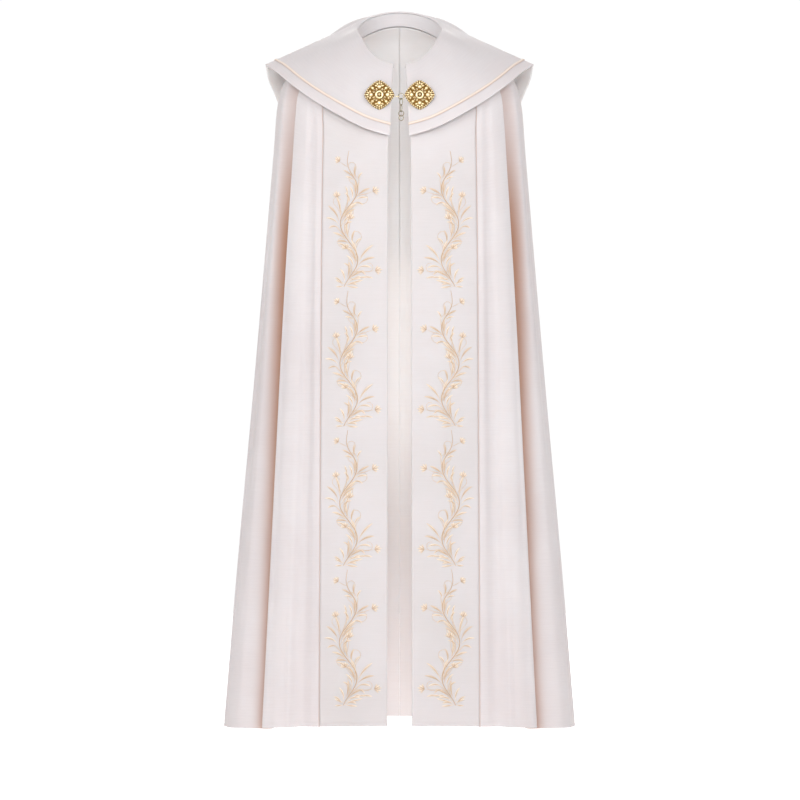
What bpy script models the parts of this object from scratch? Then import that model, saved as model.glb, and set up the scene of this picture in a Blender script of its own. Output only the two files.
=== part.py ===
"""A cope: a long open cape of satin, hanging as it does on a wearer's shoulders.

Two flat bands run down the front edges, a broad turned-over collar lies on the shoulders and ends
in a shield-shaped hood at the back, and a two-piece metal clasp with a hook and a short chain of
rings closes it at the chest.

Frame: metres, +Z up, the wearer faces -Y. The origin is the centre of the base of the neck.
Every cloth piece is a wall, made from a smooth surface and a thickness.
"""

import math
from typing import NamedTuple

import bmesh
import bpy
from mathutils import Matrix, Vector
from mathutils.bvhtree import BVHTree

# ---------------------------------------------------------------- driving dimensions, in metres
SEAM_GAP = 0.0005  # between neighbouring pieces where they are sewn edge to edge
NECK_SEAM_GAP = 0.0010  # between the neckband and the cape, hidden under the collar
LAY_GAP = 0.0005  # between a panel and what lies on it
CLOTH = 0.0015  # satin with its lining
BAND_CLOTH = 0.0024  # interlined front band
COLLAR_CLOTH = 0.0024  # interfaced collar and hood
ROLL = 0.0034  # radius of the collar's turned-over edge
PIPING_WIDTH = 0.0026
PIPING_HEIGHT = 0.0014
BRAID_WIDTH = 0.0055
BRAID_HEIGHT = 0.0009
BRAID_INSET = 0.0215  # from the collar's edge to the braid's nearer edge

SIDE_SEAM = 0.44  # of the way from the front band to the middle of the back
HEM_RING = 9.0
FOLD_START_RING = 1.3
FOLD_FULL_RING = 3.6


class Ring(NamedTuple):
    """One level of the cape's half section, before its folds: a squarish half oval."""

    z_front: float
    z_side: float
    z_back: float
    edge_x: float  # half of the front opening
    band: float  # width of the front band
    half_width: float
    front: float  # depth before the origin
    back: float  # depth behind it
    square: float  # 2 is an ellipse, more is squarer


RINGS = [
    #    z_front  z_side  z_back  edge_x   band   half_w  front   back   square
    Ring(-0.0872, -0.018, 0.0156, 0.0125, 0.0720, 0.0849, 0.1164, 0.0754, 2.00),  # neckline
    Ring(-0.1200, -0.036, -0.014, 0.0140, 0.0960, 0.1350, 0.1280, 0.1060, 2.10),  # yoke
    Ring(-0.1560, -0.062, -0.058, 0.0160, 0.1190, 0.1850, 0.1420, 0.1310, 2.25),  # shoulder
    Ring(-0.1950, -0.098, -0.108, 0.0190, 0.1345, 0.2265, 0.1540, 0.1480, 2.40),  # shoulder tip
    Ring(-0.2350, -0.150, -0.165, 0.0212, 0.1310, 0.2435, 0.1630, 0.1590, 2.50),  # upper arm
    Ring(-0.3000, -0.250, -0.260, 0.0220, 0.1310, 0.2520, 0.1690, 0.1700, 2.50),  # chest
    Ring(-0.4800, -0.470, -0.470, 0.0225, 0.1320, 0.2705, 0.1730, 0.1840, 2.50),  # waist
    Ring(-0.7400, -0.740, -0.740, 0.0230, 0.1325, 0.2940, 0.1780, 0.2020, 2.45),  # hip
    Ring(-1.0400, -1.040, -1.040, 0.0236, 0.1330, 0.3215, 0.1820, 0.2220, 2.40),  # knee
    Ring(-1.3730, -1.388, -1.392, 0.0240, 0.1335, 0.3510, 0.1860, 0.2430, 2.40),  # hem
]


class Fold(NamedTuple):
    """A valley that runs down the cape, at a share of the way from the band to the middle back."""

    at_top: float
    at_hem: float
    half_top: float  # half of its width
    half_hem: float
    depth_top: float  # metres, inwards
    depth_hem: float
    lean_top: float  # sideways shift of its bottom for each unit of depth, towards the front
    lean_hem: float
    columns: int


FOLDS = [
    #    at_top at_hem  half_t half_h  depth_t depth_h lean_t lean_h columns
    Fold(0.048, 0.050, 0.028, 0.030, 0.0020, 0.0050, 0.00, 0.00, 4),  # soft dip by the band
    Fold(0.172, 0.197, 0.046, 0.044, 0.0290, 0.0190, 0.95, 2.30, 14),  # deep fold before the arm
    Fold(0.532, 0.543, 0.072, 0.070, 0.0180, 0.0560, -0.10, -0.25, 8),  # behind the arm
    Fold(0.688, 0.695, 0.068, 0.070, 0.0160, 0.0680, 0.05, 0.30, 8),  # shoulder blade
    Fold(0.844, 0.848, 0.072, 0.070, 0.0120, 0.0600, -0.05, -0.20, 8),  # beside the spine
]
FRONT_FOLDS = 2  # how many of them lie before the side seam
COLUMNS_BETWEEN_FOLDS = 3
RIDGE_PLACE = 0.92  # of the half width: where the ridge over an overhung valley lies


class Rib(NamedTuple):
    """One line of the collar, from its crest round the neck to its outer edge."""

    turn: float  # degrees round the neck from the middle of the front
    crest_z: float
    edge_x: float
    edge_y: float
    edge_z: float
    crown: float  # how far the rib stands above its straight line


COLLAR_RIBS = [
    #   turn  crest_z  edge_x  edge_y   edge_z   crown
    Rib(7.4, -0.0775, 0.0185, -0.1705, -0.2223, 0.0040),  # front edge
    Rib(26.0, -0.0670, 0.0700, -0.1700, -0.2060, 0.0060),
    Rib(46.0, -0.0430, 0.1240, -0.1570, -0.1780, 0.0070),
    Rib(64.0, -0.0160, 0.1720, -0.1310, -0.1470, 0.0070),
    Rib(82.0, 0.0000, 0.2130, -0.0960, -0.1150, 0.0060),
    Rib(100.0, 0.0090, 0.2440, -0.0490, -0.0870, 0.0040),
    Rib(118.0, 0.0225, 0.2690, 0.0000, -0.0666, 0.0005),  # shoulder line
]
HOOD_RIBS = [
    Rib(118.0, 0.0225, 0.2690, 0.0000, -0.0666, 0.0005),  # shoulder line
    Rib(126.0, 0.0290, 0.2640, 0.0300, -0.0930, 0.0060),
    Rib(135.0, 0.0345, 0.2500, 0.0720, -0.1270, 0.0230),
    Rib(145.0, 0.0390, 0.2280, 0.1200, -0.1830, 0.0390),
    Rib(155.0, 0.0430, 0.1900, 0.1600, -0.2650, 0.0430),
    Rib(166.0, 0.0460, 0.1150, 0.1880, -0.3750, 0.0430),
    Rib(180.0, 0.0475, 0.0000, 0.2010, -0.4700, 0.0420),  # centre back
]
COLLAR_COLUMNS = 14
HOOD_COLUMNS = 14  # on each half
ROLL_ROWS = 5
FALL_ROWS = 8

NECK_HALF_WIDTH = 0.0865  # of the collar's crest
NECK_FRONT = 0.1180
NECK_BACK = 0.0770

CLASP_X = 0.0394
CLASP_Z = -0.1419
CLASP_REACH = 0.0300  # from a rosette's centre to its corner
CLASP_BASE = 0.0018
CLASP_SQUARE = 1.4  # 1 is a lozenge, 2 a circle
WIRE = 0.0007  # radius of the chain's wire
LINK_GAP = 0.0007
CHAIN_X = 0.0033
CHAIN_TOP_Z = -0.1440
WIRE_BEND = 0.0019  # radius of the hook's and the eye's bend


class Link(NamedTuple):
    """One link of the chain, measured to the middle of its wire."""

    name: str
    half_width: float
    half_height: float
    twist: float  # degrees about the vertical from facing the front


LINKS = [
    Link("chain_ring_1", 0.0058, 0.0058, 0.0),
    Link("chain_link_2", 0.0041, 0.0072, 52.0),
    Link("chain_link_3", 0.0041, 0.0072, 112.0),
    Link("chain_ring_4", 0.0053, 0.0053, -18.0),
    Link("chain_ring_5", 0.0052, 0.0052, 32.0),
]

SATIN = ("satin", (0.86, 0.79, 0.78), 0.45, 0.0)
BAND = ("band_satin", (0.88, 0.81, 0.79), 0.50, 0.0)
BRAID = ("gold_braid", (0.83, 0.66, 0.47), 0.55, 0.0)
GOLD = ("clasp_gold", (0.80, 0.58, 0.25), 0.30, 1.0)
STEEL = ("chain_steel", (0.66, 0.62, 0.52), 0.25, 1.0)


# ---------------------------------------------------------------- small tools
def smooth(t):
    t = min(1.0, max(0.0, t))
    return t * t * (3 - 2 * t)


def mix(a, b, t):
    return a + (b - a) * t


def along_table(rows, at):
    """The rows' values at a fractional row number, on a smooth curve through the rows."""
    last = len(rows) - 1
    i = min(max(int(math.floor(at)), 0), last - 1)
    t = at - i
    before, a, b, after = (rows[min(max(k, 0), last)] for k in (i - 1, i, i + 1, i + 2))
    values = []
    for p, q, r, s in zip(before, a, b, after):
        slope_q = (r - p) / 2 if i > 0 else r - q
        slope_r = (s - q) / 2 if i < last - 1 else r - q
        values.append(
            q * (2 * t**3 - 3 * t**2 + 1)
            + slope_q * (t**3 - 2 * t**2 + t)
            + r * (3 * t**2 - 2 * t**3)
            + slope_r * (t**3 - t**2)
        )
    return type(a)(*values)


def spread(start, end, count):
    """count + 1 evenly spaced values from start to end."""
    return [mix(start, end, i / count) for i in range(count + 1)]


def material(spec):
    name, colour, roughness, metallic = spec
    found = bpy.data.materials.get(name)
    if found:
        return found
    made = bpy.data.materials.new(name)
    made.use_nodes = True
    shader = made.node_tree.nodes["Principled BSDF"]
    shader.inputs["Base Color"].default_value = (*colour, 1.0)
    shader.inputs["Roughness"].default_value = roughness
    shader.inputs["Metallic"].default_value = metallic
    return made


def add_object(name, mesh, spec):
    piece = bpy.data.objects.new(name, mesh)
    piece.data.materials.append(material(spec))
    bpy.context.collection.objects.link(piece)
    return piece


def mesh_from(name, points, faces, spec):
    """A closed, smooth-shaded object with its faces pointing out."""
    work = bmesh.new()
    verts = [work.verts.new(p) for p in points]
    for face in faces:
        work.faces.new([verts[i] for i in face])
    bmesh.ops.recalc_face_normals(work, faces=work.faces)
    mesh = bpy.data.meshes.new(name)
    work.to_mesh(mesh)
    work.free()
    mesh.shade_smooth()
    mesh.set_sharp_from_angle(angle=math.radians(50))
    return add_object(name, mesh, spec)


def halves(points, quad):
    """Two triangles, parted along the quad's shorter diagonal."""
    a, b, c, d = quad
    if (points[a] - points[c]).length <= (points[b] - points[d]).length + 1e-7:
        return [[a, b, c], [a, c, d]]
    return [[a, b, d], [b, c, d]]


def wall(name, rows, thickness, spec, lift=0.0):
    """A wall under a grid of (point, outward normal). lift moves its outer face outwards."""
    height, width = len(rows), len(rows[0])
    outer = [p + n * lift for row in rows for p, n in row]
    inner = [p + n * (lift - thickness) for row in rows for p, n in row]
    points = outer + inner
    under = height * width
    faces = []
    for r in range(height - 1):
        for c in range(width - 1):
            a, b = r * width + c, (r + 1) * width + c
            for corner in halves(points, [a, a + 1, b + 1, b]):
                faces.append(corner)
                faces.append([under + k for k in reversed(corner)])
    rim = list(range(width))
    rim += [r * width + width - 1 for r in range(1, height)]
    rim += [(height - 1) * width + c for c in range(width - 2, -1, -1)]
    rim += [r * width for r in range(height - 2, 0, -1)]
    for a, b in zip(rim, rim[1:] + rim[:1]):
        faces += halves(points, [b, a, under + a, under + b])
    return mesh_from(name, points, faces, spec)


def tube(name, path, radius, plane, closed, spec, sides=8):
    """Round wire along a flat path; plane is the direction square to that flat."""
    count = len(path)
    points = []
    for i, p in enumerate(path):
        ahead = path[(i + 1) % count] if closed else path[min(i + 1, count - 1)]
        behind = path[i - 1] if closed else path[max(i - 1, 0)]
        aside = (ahead - behind).normalized().cross(plane)
        for k in range(sides):
            turn = 2 * math.pi * k / sides
            points.append(p + (plane * math.cos(turn) + aside * math.sin(turn)) * radius)
    faces = []
    for i in range(count if closed else count - 1):
        j = (i + 1) % count
        for k in range(sides):
            m = (k + 1) % sides
            faces.append([i * sides + k, i * sides + m, j * sides + m, j * sides + k])
    if not closed:
        faces.append(list(range(sides)))
        faces.append([(count - 1) * sides + k for k in range(sides)])
    return mesh_from(name, points, faces, spec)


# ---------------------------------------------------------------- the cape's surface
OUTLINE_STEPS = 240


class Section:
    """The cape's half section at one ring number, folds included."""

    def __init__(self, number):
        self.number = number
        self.ring = along_table(RINGS, number)
        first = math.asin((self.ring.edge_x / self.ring.half_width) ** (self.ring.square / 2))
        self.points = []
        for turn in spread(first, math.pi, OUTLINE_STEPS):
            self.points.append(self.on_oval(turn))
        self.runs = [0.0]
        for a, b in zip(self.points, self.points[1:]):
            self.runs.append(self.runs[-1] + (b.xy - a.xy).length)
        self.length = self.runs[-1]
        top, hem = RINGS[4].z_side, RINGS[-1].z_side
        self.drop = min(1.0, max(0.0, (top - self.ring.z_side) / (top - hem)))
        ready = (number - FOLD_START_RING) / (FOLD_FULL_RING - FOLD_START_RING)
        self.ready = smooth(ready)
        self.band_share = self.ring.band / self.length

    def on_oval(self, turn):
        ring, power = self.ring, 2 / self.ring.square
        forward = math.cos(turn)
        sideways = max(0.0, math.sin(turn))
        reach = ring.front if forward > 0 else ring.back
        z_far = ring.z_front if forward > 0 else ring.z_back
        return Vector(
            (
                ring.half_width * sideways**power,
                -math.copysign(reach * abs(forward) ** power, forward),
                mix(ring.z_side, z_far, forward**2),
            )
        )

    def base(self, share):
        """The point on the unfolded section."""
        run = min(max(share, 0.0), 1.0) * self.length
        low, high = 0, OUTLINE_STEPS
        while high - low > 1:
            middle = (low + high) // 2
            if self.runs[middle] <= run:
                low = middle
            else:
                high = middle
        step = self.runs[high] - self.runs[low]
        return self.points[low].lerp(self.points[high], (run - self.runs[low]) / step)

    def past_band(self, way):
        """The share that lies this far from the band towards the middle of the back."""
        return mix(self.band_share, 1.0, way)

    def folded(self, share):
        """The point with every fold's valley pressed in."""
        reach = 0.004
        ahead, behind = self.base(share + reach), self.base(share - reach)
        along = Vector((ahead.x - behind.x, ahead.y - behind.y, 0.0))
        if share < reach:
            along = Vector((1.0, 0.0, 0.0))
        if share > 1 - reach:
            along = Vector((-1.0, 0.0, 0.0))
        along.normalize()
        inward = Vector((-along.y, along.x, 0.0))
        point = self.base(share)
        way = (share - self.band_share) / (1 - self.band_share)
        for fold in FOLDS:
            middle = mix(fold.at_top, fold.at_hem, self.drop)
            half = mix(fold.half_top, fold.half_hem, self.drop)
            t = (way - middle) / half
            if abs(t) >= 1:
                continue
            depth = mix(fold.depth_top, fold.depth_hem, self.drop) * self.ready
            depth *= (1 - t * t) ** 2
            lean = mix(fold.lean_top, fold.lean_hem, self.drop) * self.ready
            point = point + inward * depth - along * (lean * depth)
        return point


sections = {}


def section(number):
    key = round(number, 5)
    if key not in sections:
        sections[key] = Section(key)
    return sections[key]


def cape_point(number, share, side):
    point = section(number).folded(share)
    return Vector((point.x * side, point.y, point.z))


def cape(number, share, side):
    """A point of the cape's outer face and its outward normal, from neighbouring points."""
    step = 0.0015
    across = cape_point(number, min(share + step, 1.0), side)
    across = across - cape_point(number, max(share - step, 0.0), side)
    rise = 0.03
    down = cape_point(min(number + rise, HEM_RING), share, side)
    down = down - cape_point(max(number - rise, 0.0), share, side)
    if share > 1 - step:
        across = Vector((-side, 0.0, 0.0))
    normal = across.cross(down) * -side
    return cape_point(number, share, side), normal.normalized()


ROW_NUMBERS = [0, 0.5, 1, 1.6, 2.2, 2.8, 3.4, 4, 4.6, 5.3, 6, 7, 8, 9]


def fold_columns(number, folds, start, end):
    """Ways from start to end, close together where a fold bends the cloth."""
    drop = section(number).drop
    last = start
    ways = []
    for fold in folds:
        middle = mix(fold.at_top, fold.at_hem, drop)
        half = mix(fold.half_top, fold.half_hem, drop)
        ridge = RIDGE_PLACE if fold.lean_hem > 1 else 1.0
        low, high = middle - half * ridge, middle + half
        between = 1 if fold is FOLDS[0] else COLUMNS_BETWEEN_FOLDS
        ways += spread(last, low, between)[:-1]
        ways += spread(low, high, fold.columns)[:-1]
        last = high
    return ways + spread(last, end, COLUMNS_BETWEEN_FOLDS)


def band_grid(side):
    rows = []
    for number in ROW_NUMBERS:
        here = section(number)
        gap = SEAM_GAP / 2 / here.length
        piped = PIPING_WIDTH / 2 / here.length
        shares = spread(0.0, here.band_share - piped, 5) + [here.band_share - gap]
        rows.append([cape(number, share, side) for share in shares])
    return rows


def front_grid(side):
    rows = []
    for number in ROW_NUMBERS:
        here = section(number)
        rest = here.length * (1 - here.band_share)
        piped = PIPING_WIDTH / 2 / rest
        gap = SEAM_GAP / 2 / rest
        ways = [gap] + fold_columns(number, FOLDS[:FRONT_FOLDS], piped, SIDE_SEAM - gap)
        rows.append([cape(number, here.past_band(way), side) for way in ways])
    return rows


def back_grid(side):
    """Half of the back, from the side seam to the seam down the spine."""
    rows = []
    for number in ROW_NUMBERS:
        here = section(number)
        gap = SEAM_GAP / 2 / (here.length * (1 - here.band_share))
        ways = fold_columns(number, FOLDS[FRONT_FOLDS:], SIDE_SEAM + gap, 1.0 - gap)
        rows.append([cape(number, here.past_band(way), side) for way in ways])
    return rows


def piping_grid(side):
    """A strip over the seam between a front band and its panel."""
    rows = []
    for number in ROW_NUMBERS:
        here = section(number)
        piped = PIPING_WIDTH / 2 / here.length
        shares = [here.band_share - piped, here.band_share + piped]
        rows.append([cape(number, share, side) for share in shares])
    return rows


# ---------------------------------------------------------------- the collar's surface
def neck_direction(turn):
    """The horizontal direction straight out from the neck's oval."""
    reach = NECK_FRONT if math.cos(turn) > 0 else NECK_BACK
    out = Vector((math.sin(turn) / NECK_HALF_WIDTH, -math.cos(turn) / reach, 0.0))
    return out.normalized()


def roll_centre(rib):
    turn = math.radians(rib.turn)
    reach = NECK_FRONT if math.cos(turn) > 0 else NECK_BACK
    across = NECK_HALF_WIDTH * math.sin(turn)
    return Vector((across, -reach * math.cos(turn), rib.crest_z - ROLL))


def rib_frame(rib):
    """Where the fall starts, where it ends, its upward direction and the roll's last angle."""
    centre = roll_centre(rib)
    edge = Vector((rib.edge_x, rib.edge_y, rib.edge_z))
    chord = edge - centre
    up = Vector((0, 0, 1))
    rise = (up - chord * (up.dot(chord) / chord.length_squared)).normalized()
    start = chord + rise * (6.75 * rib.crown)
    last = math.atan2(-start.z, start.xy.length)
    outward = Vector((chord.x, chord.y, 0.0)).normalized()
    return centre, edge, rise, last, outward


def rib_point(rib, row, braid):
    """Row 0 is inside the neck, ROLL_ROWS the end of the roll, the last row the outer edge."""
    centre, edge, rise, last, outward = rib_frame(rib)
    angle = mix(-math.pi / 2, last, min(row, ROLL_ROWS) / ROLL_ROWS)
    normal = outward * math.sin(angle) + Vector((0, 0, math.cos(angle)))
    point = centre + normal * ROLL
    if row <= ROLL_ROWS:
        return point, normal
    t = fall_shares(braid)[row - ROLL_ROWS]
    crown = rib.crown * 6.75 * t * (1 - t) ** 2
    return point.lerp(edge, t) + rise * crown, None


def fall_shares(braid):
    """Shares down the fall: even steps to the braid, then its two edges and the collar's edge."""
    return spread(0.0, braid[0], FALL_ROWS) + [braid[1], 1.0]


def braid_shares(ribs, at):
    """Where the braid's two edges cross this rib, so that it runs parallel to the collar's edge."""
    step = 0.05
    low, high = max(at - step, 0.0), min(at + step, len(ribs) - 1.0)
    a, b = along_table(ribs, low), along_table(ribs, high)
    edge_way = Vector((b.edge_x - a.edge_x, b.edge_y - a.edge_y, b.edge_z - a.edge_z))
    rib = along_table(ribs, at)
    centre, edge = rib_frame(rib)[:2]
    chord = edge - centre
    lean = edge_way.normalized().cross(chord.normalized()).length
    near = BRAID_INSET / lean / chord.length
    far = (BRAID_INSET + BRAID_WIDTH) / lean / chord.length
    return 1 - far, 1 - near


def collar_columns(ribs, count):
    """Columns of points with the normals that the roll already knows."""
    columns = []
    for at in spread(0.0, len(ribs) - 1.0, count):
        rib = along_table(ribs, at)
        braid = braid_shares(ribs, at)
        rows = ROLL_ROWS + FALL_ROWS + 3
        columns.append([rib_point(rib, row, braid) for row in range(rows)])
    return columns


def mirrored(grid):
    flip = Vector((-1, 1, 1))
    return [[(p * flip, n * flip) for p, n in reversed(row)] for row in grid]


def collar_and_hood():
    """Both grids. They come from one run of columns, so their walls meet in a mitre."""
    flip = Vector((-1, 1, 1))
    front = collar_columns(COLLAR_RIBS, COLLAR_COLUMNS)
    run = front + collar_columns(HOOD_RIBS, HOOD_COLUMNS)[1:]
    run += [[(p * flip, n and n * flip) for p, n in column] for column in run[-2::-1]]
    seam = len(front) - 1
    seam_way = Vector((0, 0, 1)).cross(rib_frame(HOOD_RIBS[0])[4])
    trim = seam_way * (SEAM_GAP / 2)
    wide, tall = len(run), len(run[0])
    grid = []
    for r in range(tall):
        row = []
        for c in range(wide):
            point, normal = run[c][r]
            ahead = run[min(c + 1, wide - 1)][r][0] - point
            behind = point - run[max(c - 1, 0)][r][0]
            along = ahead.normalized() + behind.normalized()
            if not normal:
                down = run[c][min(r + 1, tall - 1)][0] - run[c][max(r - 1, 0)][0]
                normal = down.cross(along).normalized()
            if c in (seam, wide - 1 - seam):
                square = seam_way if c == seam else seam_way * flip
                normal = (normal - square * normal.dot(square)).normalized()
            row.append((point, normal))
        grid.append(row)
    collar = [row[: seam + 1] for row in grid]
    hood = [row[seam : wide - seam] for row in grid]
    for r, row in enumerate(grid):
        point, normal = row[seam]
        collar[r][-1] = (point - trim, normal)
        hood[r][0] = (point + trim, normal)
        hood[r][-1] = (hood[r][0][0] * flip, normal * flip)
    return collar, hood


def neckband_grid():
    """The collar's stand inside the neck, from the cape's top edge to the roll."""
    columns = []
    tables = ((COLLAR_RIBS, COLLAR_COLUMNS), (HOOD_RIBS, HOOD_COLUMNS))
    for ribs, count in tables:
        for at in spread(0.0, len(ribs) - 1.0, count):
            rib = along_table(ribs, at)
            turn = math.radians(rib.turn)
            centre, _, _, _, outward = rib_frame(rib)
            inward = -outward
            top = centre + inward * ROLL - Vector((0, 0, SEAM_GAP * 1.4))
            bottom = section(0).on_oval(turn) - neck_direction(turn) * CLOTH
            bottom.z += NECK_SEAM_GAP
            columns.append([(bottom.lerp(top, t), inward) for t in (0.0, 0.5, 1.0)])
        if ribs is COLLAR_RIBS:
            columns.pop()
    flip = Vector((-1, 1, 1))
    other = [[(p * flip, n * flip) for p, n in column] for column in columns[-2::-1]]
    columns += other
    return [[column[r] for column in columns] for r in range(3)]


# ---------------------------------------------------------------- the clasp
class Seat(NamedTuple):
    """Where a rosette rests on the collar."""

    centre: Vector
    facing: Vector
    across: Vector
    upward: Vector


def rosette_reach(turn):
    """From the rosette's centre to its rim, a rounded lozenge."""
    side = abs(math.cos(turn)) ** CLASP_SQUARE + abs(math.sin(turn)) ** CLASP_SQUARE
    return CLASP_REACH * side ** (-1 / CLASP_SQUARE)


def rosette_height(out, turn):
    """The rosette's cast relief: a middle dome, a ring round it and a boss in each corner."""
    dome = math.sqrt(max(0.0, 1 - (out / 0.31) ** 2))
    ring = max(0.0, 1 - ((out - 0.40) / 0.08) ** 2)
    boss = max(0.0, 1 - ((out - 0.72) / 0.24) ** 2) * (0.55 + 0.45 * math.cos(4 * turn))
    return CLASP_BASE + 0.0034 * dome + 0.0012 * ring + 0.0018 * boss


def find_seat(grid):
    """Lays a rosette's flat back on the highest cloth under it."""
    width = len(grid[0])
    points = [p for row in grid for p, _ in row]
    quads = []
    for r in range(len(grid) - 1):
        for c in range(width - 1):
            a, b = r * width + c, (r + 1) * width + c
            quads.append((a, a + 1, b + 1, b))
    cloth = BVHTree.FromPolygons(points, quads)
    start = Vector((CLASP_X, -0.5, CLASP_Z))
    centre, normal, _, _ = cloth.ray_cast(start, Vector((0, 1, 0)))
    if normal.y > 0:
        normal = -normal
    facing = (normal + Vector((0, -1.4, 0))).normalized()
    across = Vector((0, 0, 1)).cross(facing).normalized()
    upward = facing.cross(across)
    lift = 0.0
    for turn in spread(0.0, 2 * math.pi, 24)[:-1]:
        for part in (0.35, 0.7, 1.0):
            reach = rosette_reach(turn) * part
            under = centre + (across * math.cos(turn) + upward * math.sin(turn)) * reach
            hit, _, _, far = cloth.ray_cast(under + facing * 0.1, -facing)
            if hit:
                lift = max(lift, 0.1 - far)
    return Seat(centre + facing * (lift + LAY_GAP), facing, across, upward)


def make_rosette(name, seat):
    steps = 40
    outs = [0.10, 0.20, 0.28, 0.33, 0.40, 0.48, 0.58, 0.72, 0.86, 0.95, 1.0]
    points = [seat.centre + seat.facing * rosette_height(0.0, 0.0)]
    for out in outs:
        for turn in spread(0.0, 2 * math.pi, steps)[:-1]:
            reach = rosette_reach(turn) * out
            flat = (seat.across * math.cos(turn) + seat.upward * math.sin(turn)) * reach
            points.append(seat.centre + flat + seat.facing * rosette_height(out, turn))
    for turn in spread(0.0, 2 * math.pi, steps)[:-1]:
        reach = rosette_reach(turn)
        flat = (seat.across * math.cos(turn) + seat.upward * math.sin(turn)) * reach
        points.append(seat.centre + flat)
    points.append(seat.centre)
    faces = [[0, 1 + k, 1 + (k + 1) % steps] for k in range(steps)]
    for r in range(len(outs)):
        for k in range(steps):
            m = (k + 1) % steps
            near, far = 1 + r * steps, 1 + (r + 1) * steps
            faces.append([near + k, far + k, far + m, near + m])
    last = 1 + len(outs) * steps
    faces += [[len(points) - 1, last + (k + 1) % steps, last + k] for k in range(steps)]
    return mesh_from(name, points, faces, GOLD)


def bend(wire_x, chain_y, side, front_leg, back_leg):
    """A flat U that goes round an upright wire; side -1 opens towards -X."""
    z = CHAIN_TOP_Z
    path = [Vector((front_leg, chain_y - WIRE_BEND, z))]
    for turn in spread(-90.0, 90.0, 8):
        angle = math.radians(turn)
        across = -side * WIRE_BEND * math.cos(angle)
        path.append(Vector((wire_x + across, chain_y + WIRE_BEND * math.sin(angle), z)))
    path.append(Vector((back_leg, chain_y + WIRE_BEND, z)))
    return path


def make_link(link, centre, pivot):
    turn = math.radians(link.twist)
    across = Vector((math.cos(turn), math.sin(turn), 0.0))
    upward = Vector((0, 0, 1))
    path = []
    for angle in spread(0.0, 2 * math.pi, 24)[:-1]:
        aside = across * (link.half_width * math.cos(angle))
        path.append(centre + aside + upward * (link.half_height * math.sin(angle)))
    piece = tube(link.name, path, WIRE, across.cross(upward), True, STEEL)
    piece.data.transform(Matrix.Translation(-pivot))
    piece.location = pivot
    return piece


def make_clasp(left_grid):
    left = find_seat(left_grid)
    flip = Vector((-1, 1, 1))
    right = Seat(left.centre * flip, left.facing * flip, left.across * flip, left.upward)
    make_rosette("clasp_rosette_left", left)
    make_rosette("clasp_rosette_right", right)
    tip = left.centre - left.across * CLASP_REACH + left.facing * (CLASP_BASE / 2)
    chain_y = tip.y
    top = LINKS[0]
    near_wire = CHAIN_X - top.half_width
    far_wire = CHAIN_X + top.half_width
    flat = Vector((0, 0, 1))
    tip_x = tip.x
    hook = bend(near_wire, chain_y, -1, -tip_x, near_wire - 0.0022)
    tube("clasp_hook", hook, WIRE, flat, False, GOLD)
    eye = bend(far_wire, chain_y, 1, tip_x, tip_x)
    tube("clasp_eye", eye, WIRE, flat, False, GOLD)
    centre = Vector((CHAIN_X, chain_y, CHAIN_TOP_Z))
    pivot = centre.copy()
    above = None
    for link in LINKS:
        if above:
            pivot = centre - Vector((0, 0, above.half_height))
            drop = above.half_height + link.half_height - 2 * WIRE - LINK_GAP
            centre = centre - Vector((0, 0, drop))
        make_link(link, centre, pivot)
        above = link


# ---------------------------------------------------------------- making the pieces
def make_cape():
    for side, word in ((-1, "right"), (1, "left")):
        wall(f"front_band_{word}", band_grid(side), BAND_CLOTH, BAND)
        wall(f"front_panel_{word}", front_grid(side), CLOTH, SATIN)
        wall(f"piping_{word}", piping_grid(side), PIPING_HEIGHT, BRAID, LAY_GAP + PIPING_HEIGHT)
        wall(f"back_panel_{word}", back_grid(side), CLOTH, SATIN)


def make_collar():
    front, hood = collar_and_hood()
    for word, grid in (("left", front), ("right", mirrored(front))):
        wall(f"collar_{word}", grid, COLLAR_CLOTH, SATIN)
        wall(f"collar_braid_{word}", grid[-3:-1], BRAID_HEIGHT, BRAID, LAY_GAP + BRAID_HEIGHT)
    wall("hood", hood, COLLAR_CLOTH, SATIN)
    wall("hood_braid", hood[-3:-1], BRAID_HEIGHT, BRAID, LAY_GAP + BRAID_HEIGHT)
    wall("neckband", neckband_grid(), CLOTH, SATIN)
    return front


def main():
    for old in list(bpy.data.objects):
        bpy.data.objects.remove(old)
    make_cape()
    make_clasp(make_collar())


main()
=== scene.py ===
"""A cope in ivory satin, dressed over its frame.

Every cloth panel is a fine shell on the frame's own drape, with its smaller creases added. The
front bands carry a raised vine in satin stitch, a corded braid runs inside the edge of the collar
and hood, and a cast clasp with a hook and a short chain closes the front.
"""

import math
from typing import NamedTuple

import bmesh
import bpy
import numpy as np
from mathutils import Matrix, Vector


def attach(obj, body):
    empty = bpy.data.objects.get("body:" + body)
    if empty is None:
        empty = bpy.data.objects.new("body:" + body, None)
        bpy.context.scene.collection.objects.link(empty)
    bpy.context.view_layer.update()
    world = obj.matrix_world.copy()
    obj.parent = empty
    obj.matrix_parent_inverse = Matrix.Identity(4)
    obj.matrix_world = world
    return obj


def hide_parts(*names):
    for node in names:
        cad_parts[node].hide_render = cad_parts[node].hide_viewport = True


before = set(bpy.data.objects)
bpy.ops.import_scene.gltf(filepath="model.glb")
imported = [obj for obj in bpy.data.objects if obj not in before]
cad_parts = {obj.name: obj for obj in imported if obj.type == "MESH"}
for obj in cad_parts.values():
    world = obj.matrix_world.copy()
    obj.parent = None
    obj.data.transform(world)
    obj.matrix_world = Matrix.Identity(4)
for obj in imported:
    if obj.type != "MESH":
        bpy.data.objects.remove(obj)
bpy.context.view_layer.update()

# ---------------------------------------------------------------- camera, light and floor
FLOOR_Z = -1.530
EYE = (0.001, -7.0, -0.738)


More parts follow.
